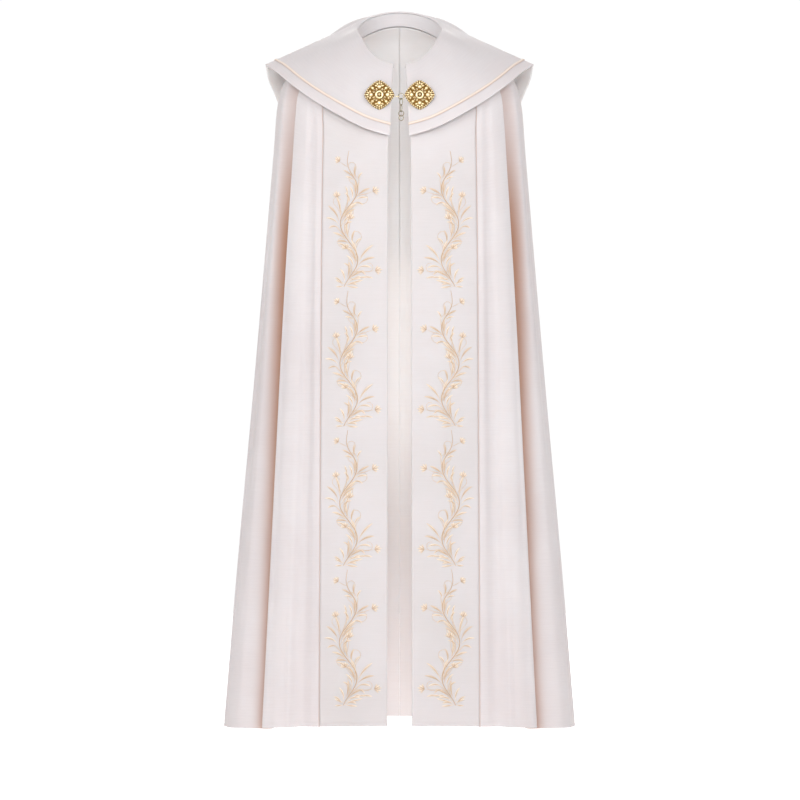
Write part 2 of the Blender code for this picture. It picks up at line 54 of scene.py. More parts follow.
def make_camera():
    lens = bpy.data.cameras.new("camera")
    lens.sensor_width = 36.0
    lens.lens = 157.5
    lens.clip_end = 60.0
    camera = bpy.data.objects.new("camera", lens)
    camera.location = EYE
    camera.rotation_euler = (math.radians(90), 0, 0)
    bpy.context.scene.collection.objects.link(camera)
    bpy.context.scene.camera = camera


class Lamp(NamedTuple):
    """A soft rectangular lamp."""

    name: str
    place: tuple
    aim: tuple
    size: tuple
    power: float  # watts
    colour: tuple
    shows: bool  # whether the camera may see the lamp itself


LAMPS = [
    #    name   place   aim   size   power   colour   shows
    Lamp("key", (-3.1, -4.7, 2.0), (0, 0, -0.5), (1.8, 1.8), 70, (1.0, 0.99, 0.98), True),
    Lamp("fill", (3.1, -4.7, 1.8), (0, 0, -0.5), (1.8, 1.8), 56, (0.98, 0.99, 1.0), True),
    Lamp("front", (0.0, -6.6, 1.3), (0, 0, -0.5), (0.9, 1.2), 94, (1.0, 1.0, 1.0), True),
    Lamp("overhead", (0.0, -2.6, 3.9), (0, 0, -0.1), (2.2, 1.2), 15, (1.0, 0.97, 0.97), True),
    Lamp("under the hem", (0, 0, -1.5), (0, 0, 0), (0.3, 0.2), 0.30, (1.0, 0.76, 0.78), False),
    Lamp("hollow", (0, -0.03, -0.5), (0, 0.3, -0.45), (0.24, 0.8), 0.44, (1.0, 1.0, 1.0), False),
    Lamp("back", (0.0, 4.5, 1.6), (0, 0, -0.6), (2.4, 2.0), 52, (1.0, 1.0, 1.0), True),
]


def hang_lamp(lamp):
    light = bpy.data.lights.new(lamp.name, "AREA")
    light.shape = "RECTANGLE"
    light.size, light.size_y = lamp.size
    light.energy = lamp.power
    light.color = lamp.colour
    holder = bpy.data.objects.new(lamp.name, light)
    holder.location = lamp.place
    way = Vector(lamp.aim) - Vector(lamp.place)
    holder.rotation_euler = way.to_track_quat("-Z", "Y").to_euler()
    holder.visible_camera = lamp.shows
    bpy.context.scene.collection.objects.link(holder)


def glow_strength(tree, as_light, as_backdrop):
    """A strength that is lower where the surface lights the cloth than where it is looked at."""
    ray = add_node(tree, "ShaderNodeLightPath").outputs["Is Camera Ray"]
    levels = {"Value": ray, "To Min": as_light, "To Max": as_backdrop}
    return add_node(tree, "ShaderNodeMapRange", levels).outputs["Result"]


def make_studio():
    """Even white surroundings and soft lamps."""
    world = bpy.data.worlds.new("studio")
    world.use_nodes = True
    sky = world.node_tree.nodes["Background"]
    strength = glow_strength(world.node_tree, 0.55, 1.02)
    feed(world.node_tree, sky, {"Color": (1.0, 1.0, 1.0, 1.0), "Strength": strength})
    bpy.context.scene.world = world
    for lamp in LAMPS:
        hang_lamp(lamp)
    bpy.context.scene.view_settings.view_transform = "Standard"


# ---------------------------------------------------------------- measures, in metres
SEAM_GAP = 0.0002  # between two cloths where they are sewn together
CLOTH = 0.0015
BAND_CLOTH = 0.0024
COLLAR_CLOTH = 0.0024
ROLL = 0.0034  # radius of the collar's roll round the neck
BRAID_WIDTH = 0.0055
BRAID_INSET = 0.0215  # from the collar's edge to the braid's nearer edge
SIDE_SEAM = 0.44  # of the way from the front band to the middle of the back
HEM_RING = 9.0
FOLD_START_RING = 1.3
FOLD_FULL_RING = 3.6
NECK_HALF_WIDTH = 0.0865
NECK_FRONT = 0.1180
NECK_BACK = 0.0770
CLASP_REACH = 0.0300
CLASP_BASE = 0.0018
CLASP_SQUARE = 1.4  # 2 is round, 1 a sharp lozenge
WIRE = 0.0007  # radius of the chain's wire
LINK_GAP = 0.0007
CHAIN_X = 0.0033
CHAIN_TOP_Z = -0.1440
WIRE_BEND = 0.0019  # radius of the hook's and the eye's bend
HOOK_RETURN = 0.0022  # how far the hook's point comes back past its bend
OUTLINE_STEPS = 240
FLIP = np.array((-1.0, 1.0, 1.0))  # from the wearer's left side to the right
SIDES = ((-1, "right"), (1, "left"))


class Ring(NamedTuple):
    """One level of the cape's half section, before its folds."""

    z_front: float
    z_side: float
    z_back: float
    edge_x: float
    band: float
    half_width: float
    front: float
    back: float
    square: float


RINGS = [
    #    z_front  z_side  z_back  edge_x   band   half_w  front   back   square
    Ring(-0.0872, -0.018, 0.0156, 0.0125, 0.0720, 0.0849, 0.1164, 0.0754, 2.00),  # neckline
    Ring(-0.1200, -0.036, -0.014, 0.0140, 0.0960, 0.1350, 0.1280, 0.1060, 2.10),  # yoke
    Ring(-0.1560, -0.062, -0.058, 0.0160, 0.1190, 0.1850, 0.1420, 0.1310, 2.25),  # shoulder
    Ring(-0.1950, -0.098, -0.108, 0.0190, 0.1345, 0.2265, 0.1540, 0.1480, 2.40),  # shoulder tip
    Ring(-0.2350, -0.150, -0.165, 0.0212, 0.1310, 0.2435, 0.1630, 0.1590, 2.50),  # upper arm
    Ring(-0.3000, -0.250, -0.260, 0.0220, 0.1310, 0.2520, 0.1690, 0.1700, 2.50),  # chest
    Ring(-0.4800, -0.470, -0.470, 0.0225, 0.1320, 0.2705, 0.1730, 0.1840, 2.50),  # waist
    Ring(-0.7400, -0.740, -0.740, 0.0230, 0.1325, 0.2940, 0.1780, 0.2020, 2.45),  # hip
    Ring(-1.0400, -1.040, -1.040, 0.0236, 0.1330, 0.3215, 0.1820, 0.2220, 2.40),  # knee
    Ring(-1.3730, -1.388, -1.392, 0.0240, 0.1335, 0.3510, 0.1860, 0.2430, 2.40),  # hem
]


UPPER_ARM = RINGS[4]  # the folds change from their top measures here to their hem ones


class Fold(NamedTuple):
    """A deep valley down the cape, at a share of the way from the band to the middle back."""

    at_top: float
    at_hem: float
    half_top: float
    half_hem: float
    depth_top: float
    depth_hem: float
    lean_top: float
    lean_hem: float
    painted_shade: float  # how much painted shade its bottom takes: a deep, warm colour in place of the fold's shadow and the light through the cloth there


FOLDS = [
    #       at_top at_hem  half_t half_h  depth_t depth_h lean_t lean_h painted_shade
    Fold(0.048, 0.050, 0.028, 0.030, 0.0020, 0.0050, 0.00, 0.00, 0.0),  # soft dip by the band
    Fold(0.172, 0.197, 0.046, 0.044, 0.0290, 0.0190, 0.95, 2.30, 1.0),  # before the arm
    Fold(0.532, 0.543, 0.072, 0.070, 0.0180, 0.0560, -0.10, -0.25, 0.35),  # behind the arm
    Fold(0.688, 0.695, 0.068, 0.070, 0.0160, 0.0680, 0.05, 0.30, 0.4),  # shoulder blade
    Fold(0.844, 0.848, 0.072, 0.070, 0.0120, 0.0600, -0.05, -0.20, 0.35),  # beside the spine
]


class Crease(NamedTuple):
    """A soft trough, or a ridge where its depth is negative, from one height down to another."""

    side: int  # 1 is the wearer's left, -1 the right, 0 both
    at_top: float  # the way past the band
    at_low: float
    z_top: float
    z_low: float  # below the hem it runs off the edge
    half: float  # half of its width, as a way
    depth: float


CREASES = [
    #     side at_top at_low  z_top  z_low   half    depth
    Crease(0, 0.108, 0.118, -0.14, -2.20, 0.040, -0.0050),  # roll in front of the deep fold
    Crease(0, 0.136, 0.152, -0.16, -2.20, 0.016, -0.0026),  # its edge, where it overhangs
    Crease(0, 0.046, 0.042, -0.30, -2.20, 0.042, 0.0052),  # hollow between it and the band
    Crease(0, 0.080, 0.082, -0.95, -2.20, 0.013, -0.0030),  # sharper lip of the roll, low down
    Crease(0, 0.018, 0.020, -0.20, -1.10, 0.018, -0.0016),
    Crease(1, 0.064, 0.060, -0.50, -1.30, 0.012, 0.0012),
    Crease(-1, 0.058, 0.066, -0.44, -1.36, 0.012, 0.0013),
    Crease(0, 0.214, 0.250, -1.02, -1.22, 0.020, 0.0012),  # slack across the outer lobe
    Crease(0, 0.238, 0.204, -1.12, -1.34, 0.018, 0.0010),
    Crease(1, 0.262, 0.276, -0.20, -0.95, 0.022, 0.0030),  # side of the arm
    Crease(-1, 0.256, 0.280, -0.22, -1.05, 0.024, 0.0032),
    Crease(1, 0.318, 0.306, -0.42, -1.60, 0.020, 0.0046),
    Crease(-1, 0.312, 0.318, -0.36, -1.60, 0.022, 0.0042),
    Crease(1, 0.366, 0.372, -0.16, -0.70, 0.024, 0.0030),
    Crease(-1, 0.372, 0.366, -0.18, -0.86, 0.022, 0.0034),
    Crease(1, 0.404, 0.412, -0.66, -1.60, 0.020, 0.0050),
    Crease(-1, 0.398, 0.404, -0.74, -1.60, 0.024, 0.0046),
    Crease(1, 0.470, 0.462, -0.30, -1.24, 0.018, -0.0030),  # behind the side seam
    Crease(-1, 0.474, 0.468, -0.26, -1.36, 0.018, -0.0026),
    Crease(1, 0.606, 0.612, -0.52, -1.60, 0.020, 0.0048),  # between the deep folds of the back
    Crease(-1, 0.612, 0.618, -0.40, -1.60, 0.022, 0.0042),
    Crease(1, 0.632, 0.640, -0.20, -0.66, 0.016, 0.0020),
    Crease(1, 0.764, 0.770, -0.44, -1.60, 0.022, 0.0050),
    Crease(-1, 0.758, 0.772, -0.58, -1.60, 0.022, 0.0046),
    Crease(-1, 0.786, 0.792, -0.30, -0.92, 0.015, 0.0022),
    Crease(1, 0.926, 0.934, -0.62, -1.60, 0.022, 0.0042),  # either side of the spine
    Crease(-1, 0.934, 0.926, -0.50, -1.60, 0.020, 0.0046),
    Crease(1, 0.958, 0.974, -0.40, -1.02, 0.016, 0.0016),
]


class Rib(NamedTuple):
    """One line of the collar, from its crest round the neck to its outer edge."""

    turn: float  # degrees round the neck from the middle of the front
    crest_z: float
    edge_x: float
    edge_y: float
    edge_z: float
    crown: float


COLLAR_RIBS = [
    #   turn  crest_z  edge_x  edge_y   edge_z   crown
    Rib(7.4, -0.0775, 0.0185, -0.1705, -0.2223, 0.0040),  # front edge
    Rib(26.0, -0.0670, 0.0700, -0.1700, -0.2060, 0.0060),
    Rib(46.0, -0.0430, 0.1240, -0.1570, -0.1780, 0.0070),
    Rib(64.0, -0.0160, 0.1720, -0.1310, -0.1470, 0.0070),
    Rib(82.0, 0.0000, 0.2130, -0.0960, -0.1150, 0.0060),
    Rib(100.0, 0.0090, 0.2440, -0.0490, -0.0870, 0.0040),
    Rib(118.0, 0.0225, 0.2690, 0.0000, -0.0666, 0.0005),  # shoulder line
]
HOOD_RIBS = [
    Rib(118.0, 0.0225, 0.2690, 0.0000, -0.0666, 0.0005),  # shoulder line
    Rib(126.0, 0.0290, 0.2640, 0.0300, -0.0930, 0.0060),
    Rib(135.0, 0.0345, 0.2500, 0.0720, -0.1270, 0.0230),
    Rib(145.0, 0.0390, 0.2280, 0.1200, -0.1830, 0.0390),
    Rib(155.0, 0.0430, 0.1900, 0.1600, -0.2650, 0.0430),
    Rib(166.0, 0.0460, 0.1150, 0.1880, -0.3750, 0.0430),
    Rib(180.0, 0.0475, 0.0000, 0.2010, -0.4700, 0.0420),  # centre back
]


class Link(NamedTuple):
    """One link of the chain, measured to the middle of its wire."""

    name: str
    body: str
    half_width: float
    half_height: float
    twist: float


LINKS = [
    Link("chain_ring_1", "cope", 0.0058, 0.0058, 0.0),
    Link("chain_link_2", "link_2", 0.0041, 0.0072, 52.0),
    Link("chain_link_3", "link_3", 0.0041, 0.0072, 112.0),
    Link("chain_ring_4", "ring_4", 0.0053, 0.0053, -18.0),
    Link("chain_ring_5", "ring_5", 0.0052, 0.0052, 32.0),
]


# ---------------------------------------------------------------- the vine's own layout, in mm
VINE_PITCH = 272.0  # from one sprig of the vine to the next
VINE_TOP = 29.0  # from the collar's front edge level down to the first tip
VINE_REPEATS = 4
VINE_CENTRE = 72.0  # from the band's front edge
VINE_SWING = 16.5
CURL_STITCH = 1.7
BAR_STEPS = 12  # points along one stitched bar, less one
LEAST_WIDTH = 0.16  # of a bar, at its tips
FAN_SPACING = 6.4  # down the stem from one pair of a fan's leaves to the next
VEIN_WIDTH = 1.3
LEAF_WIDTH = 3.9  # of the leaves on the twigs
PALE, MIDDLE, DARK = 0.05, 0.5, 0.8  # tones of thread, from the lightest at 0 to the deepest at 1
STITCH_LIFT = 0.22  # brings the underside of the stitches onto the cloth
STITCH = {"Step": 0.0021, "Height": 0.30}  # metres along, and its height as a share of its width


class Fan(NamedTuple):
    """A fountain of leaves that grows out of the stem, as padded satin stitches."""

    down: float  # along the stem from the sprig's tip
    seam: int  # leaves on the side of the seam
    front: int  # leaves on the side of the front edge
    reach: float  # the innermost leaf
    opening: float  # degrees by which each leaf turns out more than the one within it
    width: float


FANS = [
    #   down seam front reach opening width
    Fan(56, 2, 2, 26, 15, 4.0),
    Fan(92, 3, 3, 33, 14, 4.6),
    Fan(136, 4, 4, 46, 12, 4.9),
    Fan(178, 3, 3, 34, 15, 4.6),
    Fan(220, 4, 4, 46, 12, 4.9),
    Fan(254, 3, 3, 36, 15, 4.6),
]


class Spray(NamedTuple):
    """A short side twig with leaves that lie side by side like a comb's teeth."""

    down: float
    side: int  # 1 towards the seam, -1 towards the front edge
    leaves: int
    stalk: float
    lean: float  # degrees of the twig from the stem
    reach: float  # the longest leaf


SPRAYS = [
    #    down side leaves stalk lean reach
    Spray(112, 1, 3, 22, 52, 20),
    Spray(166, -1, 4, 26, 58, 24),
    Spray(206, 1, 4, 25, 50, 22),
    Spray(250, -1, 3, 24, 60, 24),
]


class Curl(NamedTuple):
    """A tendril of fine running stitch that winds in on itself."""

    down: float
    side: int  # 1 towards the seam, -1 towards the front edge
    reach: float  # its straight run before it curls
    radius: float
    turn: float  # degrees


CURLS = [
    #    down side reach radius turn
    Curl(52, -1, 14, 10.5, 262),
    Curl(76, 1, 16, 11.6, 250),
    Curl(104, -1, 18, 12.4, 268),
    Curl(132, 1, 24, 11.0, 240),
    Curl(150, -1, 26, 12.4, 256),
    Curl(192, 1, 20, 11.8, 262),
    Curl(196, -1, 22, 12.6, 250),
    Curl(238, -1, 24, 11.8, 236),
    Curl(240, 1, 20, 10.6, 258),
]


class Bud(NamedTuple):
    """A small half-open flower at the end of a stalk."""

    down: float
    side: int
    stalk: float
    lean: float  # degrees of the stalk from the stem
    size: float


BUDS = [
    #  down side stalk lean size
    Bud(34, 1, 20, 50, 12.0),
    Bud(88, -1, 34, 56, 14.0),
    Bud(128, 1, 36, 52, 12.5),
    Bud(172, -1, 38, 54, 14.0),
    Bud(218, 1, 34, 56, 12.0),
    Bud(236, -1, 42, 62, 14.0),
]


# ---------------------------------------------------------------- small tools
def smooth(t):
    t = np.clip(t, 0.0, 1.0)
    return t * t * (3 - 2 * t)


def mix(a, b, t):
    return a + (b - a) * t


def unit(vectors):
    return vectors / np.maximum(np.linalg.norm(vectors, axis=-1, keepdims=True), 1e-12)


def lobe(off):
    """A soft hump: 1 where off is 0, and 0 from 1 on, either way."""
    return (1 - np.clip(off, -1, 1) ** 2) ** 2


def runs_along(points):
    """The way covered from the first point to each, down the first axis."""
    steps = np.linalg.norm(np.diff(points, axis=0), axis=-1)
    return np.concatenate([np.zeros((1, *steps.shape[1:])), np.cumsum(steps, axis=0)])


def mirrored(columns):
    """Columns from the front to the middle of the back, and on round the other side."""
    return np.concatenate([columns, (columns * FLIP)[-2::-1]])


def along_table(rows, at):
    """The rows' values at a fractional row number, on a smooth curve through the rows."""
    last = len(rows) - 1
    i = min(max(int(math.floor(at)), 0), last - 1)
    t = at - i
    before, a, b, after = (rows[min(max(k, 0), last)] for k in (i - 1, i, i + 1, i + 2))
    values = []
    for p, q, r, s in zip(before, a, b, after):
        slope_q = (r - p) / 2 if i > 0 else r - q
        slope_r = (s - q) / 2 if i < last - 1 else r - q
        values.append(
            q * (2 * t**3 - 3 * t**2 + 1)
            + slope_q * (t**3 - 2 * t**2 + t)
            + r * (3 * t**2 - 2 * t**3)
            + slope_r * (t**3 - t**2)
        )
    return type(a)(*values)


def srgb(code):
    """A linear colour from an sRGB hex value."""
    values = [int(code[i : i + 2], 16) / 255 for i in (1, 3, 5)]
    linear = [v / 12.92 if v <= 0.04045 else ((v + 0.055) / 1.055) ** 2.4 for v in values]
    return (*linear, 1.0)


def feed(tree, node, wires):
    """Gives each input, by name or number, a link from a socket, or a value of its own."""
    for name, value in wires.items():
        if isinstance(value, bpy.types.NodeSocket):
            tree.links.new(value, node.inputs[name])
        else:
            node.inputs[name].default_value = value


def add_node(tree, kind, wires=None, **settings):
    """Adds a node with its settings, its links and its values."""
    made = tree.nodes.new(kind)
    for name, value in settings.items():
        setattr(made, name, value)
    feed(tree, made, wires or {})
    return made


def new_finish(name):
    """A material with an empty shader, its tree and its shader node."""
    finish = bpy.data.materials.new(name)
    finish.use_nodes = True
    return finish, finish.node_tree, finish.node_tree.nodes["Principled BSDF"]


# ---------------------------------------------------------------- finishes
SLUB = 0.045  # how long a thicker stretch of weft thread is
PICK = 0.0022  # its width: ten picks together, so that it shows
THREAD = 0.0011  # satin's floats are 0.2 mm wide, drawn five times as coarse so that they show


def satin(name, light, shade, deep, roughness, ribs=0.0):
    """Polyester duchesse satin, woven with long floats: a pearly sheen over a soft, even colour.

    The weave follows the panel's own lengthwise thread. In the valleys a warmer, darker colour is
    painted in: painted shade, warm as the light that comes through the cloth in a fold."""
    finish, tree, shader = new_finish(name)
    cloth = add_node(tree, "ShaderNodeUVMap", uv_map="threads").outputs["UV"]
    place = add_node(tree, "ShaderNodeTexCoord").outputs["Object"]
    floats = add_node(
        tree, "ShaderNodeMapping", {"Vector": cloth, "Scale": (1 / THREAD, 0.16 / THREAD, 1.0)}
    )
    grain = add_node(
        tree,
        "ShaderNodeTexNoise",
        {"Vector": floats.outputs["Vector"], "Scale": 1.0, "Detail": 2.0},
    )
    cloud = add_node(tree, "ShaderNodeTexNoise", {"Vector": place, "Scale": 5.0, "Detail": 3.0})
    picks = add_node(
        tree, "ShaderNodeMapping", {"Vector": cloth, "Scale": (1 / SLUB, 1 / PICK, 1.0)}
    )
    slub = add_node(
        tree,
        "ShaderNodeTexNoise",
        {"Vector": picks.outputs["Vector"], "Scale": 1.0, "Detail": 1.0},
    )
    both = add_node(
        tree,
        "ShaderNodeMath",
        {0: slub.outputs["Fac"], 1: 0.32, 2: cloud.outputs["Fac"]},
        operation="MULTIPLY_ADD",
    )
    soft = add_node(
        tree,
        "ShaderNodeMapRange",
        {"Value": both.outputs["Value"], "From Min": 0.51, "From Max": 0.84},
    )
    ramp = add_node(tree, "ShaderNodeValToRGB", {"Fac": soft.outputs["Result"]})
    ramp.color_ramp.elements[0].color = srgb(light)
    ramp.color_ramp.elements[1].color = srgb(shade)
    # painted shade: the valley attribute mixes the deep colour into the folds
    valley = add_node(tree, "ShaderNodeAttribute", attribute_name="valley")
    painted_shade = add_node(
        tree,
        "ShaderNodeMixRGB",
        {"Fac": valley.outputs["Fac"], "Color1": ramp.outputs["Color"], "Color2": srgb(deep)},
        blend_type="MIX",
    )
    worn = add_node(
        tree,
        "ShaderNodeMapRange",
        {
            "Value": grain.outputs["Fac"],
            "From Min": 0.3,
            "From Max": 0.7,
            "To Min": roughness - 0.05,
            "To Max": roughness + 0.07,
        },
    )
    height = grain.outputs["Fac"]
    if ribs:
        wefts = add_node(
            tree,
            "ShaderNodeTexWave",
            {"Vector": cloth, "Scale": 1 / (ribs * math.pi * 2), "Distortion": 1.2, "Detail": 1.0},
            bands_direction="Y",
        )
        height = add_node(
            tree,
            "ShaderNodeMath",
            {0: wefts.outputs["Fac"], 1: grain.outputs["Fac"]},
            operation="ADD",
        ).outputs["Value"]
    weave = add_node(
        tree, "ShaderNodeBump", {"Height": height, "Strength": 0.22, "Distance": 0.00012}
    )
    coat = {
        "Base Color": painted_shade.outputs["Color"],
        "Roughness": worn.outputs["Result"],
        "Normal": weave.outputs["Normal"],
        "Sheen Weight": 0.22,
        "Sheen Roughness": 0.35,
        "Sheen Tint": srgb("#FFF3EC"),
        "Specular IOR Level": 0.42,
        "Subsurface Weight": 0.6,
        "Subsurface Radius": (1.0, 0.86, 0.8),
        "Subsurface Scale": 0.0038,
    }
    feed(tree, shader, coat)
    return finish


def stitched(name, light, dark, roughness, pitch):
    """Rayon embroidery thread laid side by side: two tones of gold with a silky gloss."""
    finish, tree, shader = new_finish(name)
    tone = add_node(tree, "ShaderNodeAttribute", attribute_name="tone")
    run = add_node(tree, "ShaderNodeAttribute", attribute_name="run")
    across = add_node(tree, "ShaderNodeAttribute", attribute_name="across")
    slant = add_node(
        tree,
        "ShaderNodeMath",
        {0: across.outputs["Fac"], 1: 0.6 * pitch, 2: run.outputs["Fac"]},
        operation="MULTIPLY_ADD",
    )
    lie = add_node(tree, "ShaderNodeCombineXYZ", {"X": slant.outputs["Value"]})
    threads = add_node(
        tree,
        "ShaderNodeTexWave",
        {"Vector": lie.outputs["Vector"], "Scale": 1 / (pitch * math.pi * 2), "Distortion": 0.0},
        bands_direction="X",
    )
    # the thread's own tone, with painted shade darkening the troughs between the threads
    shadow = add_node(
        tree,
        "ShaderNodeMath",
        {0: threads.outputs["Fac"], 1: -0.10, 2: tone.outputs["Fac"]},
        operation="MULTIPLY_ADD",
        use_clamp=True,
    )
    ramp = add_node(tree, "ShaderNodeValToRGB", {"Fac": shadow.outputs["Value"]})
    ramp.color_ramp.elements[0].color = srgb(light)
    ramp.color_ramp.elements[1].color = srgb(dark)
    bump = add_node(
        tree,
        "ShaderNodeBump",
        {"Height": threads.outputs["Fac"], "Strength": 0.5, "Distance": 0.0002},
    )
    coat = {
        "Base Color": ramp.outputs["Color"],
        "Roughness": roughness,
        "Normal": bump.outputs["Normal"],
        "Sheen Weight": 0.25,
        "Specular IOR Level": 0.5,
    }
    feed(tree, shader, coat)
    return finish


def cast_gold(name, bright, dark, roughness, patina):
    """Gilt zinc casting: bright where it is rubbed, with brown patina kept in its recesses."""
    finish, tree, shader = new_finish(name)
    place = add_node(tree, "ShaderNodeTexCoord").outputs["Object"]
    grit = add_node(tree, "ShaderNodeTexNoise", {"Vector": place, "Scale": 900.0, "Detail": 3.0})
    shade = add_node(
        tree,
        "ShaderNodeMapRange",
        {
            "Value": grit.outputs["Fac"],
            "From Min": 0.35,
            "From Max": 0.75,
            "To Min": patina,
            "To Max": patina + 0.25,
        },
    )
    ramp = add_node(tree, "ShaderNodeValToRGB", {"Fac": shade.outputs["Result"]})
    ramp.color_ramp.elements[0].color = srgb(bright)
    ramp.color_ramp.elements[1].color = srgb(dark)
    rub = add_node(
        tree,
        "ShaderNodeMapRange",
        {"Value": grit.outputs["Fac"], "To Min": roughness - 0.06, "To Max": roughness + 0.12},
    )
    bump = add_node(
        tree,
        "ShaderNodeBump",
        {"Height": grit.outputs["Fac"], "Strength": 0.12, "Distance": 0.0001},
    )
    coat = {
        "Base Color": ramp.outputs["Color"],
        "Metallic": 1.0,
        "Roughness": rub.outputs["Result"],
        "Normal": bump.outputs["Normal"],
    }
    feed(tree, shader, coat)
    return finish


def floor_acrylic():
    """White opal acrylic with a faint tooth, lit from beneath, as brightly as the backdrop."""
    finish, tree, shader = new_finish("underlit_opal_acrylic")
    place = add_node(tree, "ShaderNodeTexCoord").outputs["Object"]
    tooth = add_node(tree, "ShaderNodeTexNoise", {"Vector": place, "Scale": 300.0})
    ramp = add_node(tree, "ShaderNodeValToRGB", {"Fac": tooth.outputs["Fac"]})
    ramp.color_ramp.elements[0].color = srgb("#FBFBFB")
    ramp.color_ramp.elements[1].color = srgb("#FEFEFE")
    coat = {
        "Base Color": ramp.outputs["Color"],
        "Roughness": 0.9,
        "Emission Color": (1.0, 1.0, 1.0, 1.0),
        "Emission Strength": glow_strength(tree, 0.05, 0.62),
    }
    feed(tree, shader, coat)
    return finish


FINISH = {
    # the third colour of each satin is the painted shade mixed into its valleys
    "satin": satin("ivory_duchesse_satin", "#E0DADB", "#D9D2D3", "#A8734F", 0.44),
    "band": satin("band_ribbed_satin", "#DBD6D7", "#D6D1D1", "#C9A48F", 0.48, ribs=0.0016),
    "lining": satin("lining_taffeta", "#F7F3F2", "#F2EDEB", "#E6D9D0", 0.55),
    "vine": stitched("vine_rayon_thread", "#F4E4D2", "#B88D63", 0.42, 0.0006),
    "braid": stitched("peach_gold_braid", "#F5E8DF", "#E0C4AA", 0.46, 0.0009),
    "cord": stitched("blush_piping_cord", "#E6D6D1", "#D2BAB2", 0.5, 0.0006),
    "gold": cast_gold("gilt_relief", "#FDEABF", "#DFBE84", 0.28, 0.0),
    "patina": cast_gold("gilt_recess", "#8F6E3C", "#5E4320", 0.50, 0.2),
    "steel": cast_gold("champagne_plated_steel", "#BDB294", "#776D50", 0.22, 0.10),
}


# ---------------------------------------------------------------- the cape's surface
class Section:
    """The cape's half section at one ring number, folds and creases included."""

    def __init__(self, number):
        self.ring = along_table(RINGS, number)
        ring = self.ring
        first = math.asin((ring.edge_x / ring.half_width) ** (ring.square / 2))
        self.points = self.on_oval(np.linspace(first, math.pi, OUTLINE_STEPS + 1))
        self.runs = runs_along(self.points[:, :2])
        self.length = self.runs[-1]
        top, hem = UPPER_ARM.z_side, RINGS[-1].z_side
        self.drop = min(1.0, max(0.0, (top - ring.z_side) / (top - hem)))
        ready = (number - FOLD_START_RING) / (FOLD_FULL_RING - FOLD_START_RING)
        self.ready = float(smooth(ready))
        self.band_share = ring.band / self.length

    def on_oval(self, turn):
        """Points of the section's outline, at angles from the front round to the back."""
        ring, power = self.ring, 2 / self.ring.square
        forward = np.cos(turn)
        sideways = np.maximum(0.0, np.sin(turn))
        reach = np.where(forward > 0, ring.front, ring.back)
        z_far = np.where(forward > 0, ring.z_front, ring.z_back)
        x = ring.half_width * sideways**power
        y = -np.sign(forward) * reach * np.abs(forward) ** power
        return np.stack([x, y, mix(ring.z_side, z_far, forward**2)], axis=-1)

    def base(self, shares):
        """Points at shares of the way round the outline."""
        run = np.clip(shares, 0.0, 1.0) * self.length
        return np.stack([np.interp(run, self.runs, self.points[:, i]) for i in range(3)], axis=-1)

    def folded(self, shares, side):
        """Points with every valley and crease pressed in, and how much painted shade each valley
        takes.
        """
        reach = 0.004  # either way, a share over which the cloth's direction is read
        along = self.base(shares + reach) - self.base(shares - reach)
        along[:, 2] = 0.0
        along[shares < reach] = (1.0, 0.0, 0.0)
        along[shares > 1 - reach] = (-1.0, 0.0, 0.0)
        along = unit(along)
        inward = np.stack([-along[:, 1], along[:, 0], np.zeros(len(shares))], axis=-1)
        points = self.base(shares)
        z = points[:, 2]
        way = (shares - self.band_share) / (1 - self.band_share)
        valley = np.zeros(len(shares))
        for fold in FOLDS:
            middle = mix(fold.at_top, fold.at_hem, self.drop)
            half = mix(fold.half_top, fold.half_hem, self.drop)
            shape = lobe((way - middle) / half)
            depth = mix(fold.depth_top, fold.depth_hem, self.drop) * self.ready * shape
            lean = mix(fold.lean_top, fold.lean_hem, self.drop) * self.ready
            points = points + inward * depth[:, None] - along * (lean * depth)[:, None]
            # painted shade: how far the dark, warm colour spreads over the fold, and how strong it
            # is, weaker near the top
            painted_shade_spread = smooth(shape ** mix(0.45, 2.6, self.drop**2) / 0.9)
            painted_shade_strength = fold.painted_shade * self.ready * mix(0.3, 1.0, smooth(self.drop / 0.24))
            valley = np.maximum(valley, painted_shade_strength * painted_shade_spread)
        for crease in CREASES:
            if crease.side not in (0, side):
                continue
            t = (crease.z_top - z) / (crease.z_top - crease.z_low)
            middle = mix(crease.at_top, crease.at_low, np.clip(t, 0, 1))
            shape = lobe((way - middle) / crease.half)
            depth = crease.depth * shape * smooth(t / 0.3) * smooth((1 - t) / 0.3)
            points = points + inward * depth[:, None]
        return points * (side, 1, 1), valley


sections = {}


def section(number):
    key = round(float(number), 5)
    if key not in sections:
        sections[key] = Section(key)
    return sections[key]


def cape_row(number, shares, side):
    """A row of the cape's outer face: points, outward normals and the painted shade of its
    valleys.
    """
    shares = np.asarray(shares, dtype=float)
    step, rise = 0.0012, 0.02  # of a share and of a ring, over which the slope is read
    here = section(number)
    points, valley = here.folded(shares, side)
    ahead = here.folded(np.minimum(shares + step, 1.0), side)[0]
    behind = here.folded(np.maximum(shares - step, 0.0), side)[0]
    across = ahead - behind
    across[shares > 1 - step] = (-side, 0.0, 0.0)
    low, high = min(number + rise, HEM_RING), max(number - rise, 0.0)
    down = section(low).folded(shares, side)[0] - section(high).folded(shares, side)[0]
    normals = unit(np.cross(across, down) * -side)
    return points, normals, valley


def cape_grid(numbers, shares_at, side):
    """Rows of the cape for one side. shares_at gives each row's shares of the half section."""
    rows = [cape_row(number, shares_at(section(number)), side) for number in numbers]
    return [np.array(part) for part in zip(*rows)]


def eased(start, end, count, hem):
    """count + 1 places from start to end, with one more a hem's width inside each end."""
    inner = np.linspace(start + hem, end - hem, count - 1)
    return np.concatenate(([start], inner, [end]))


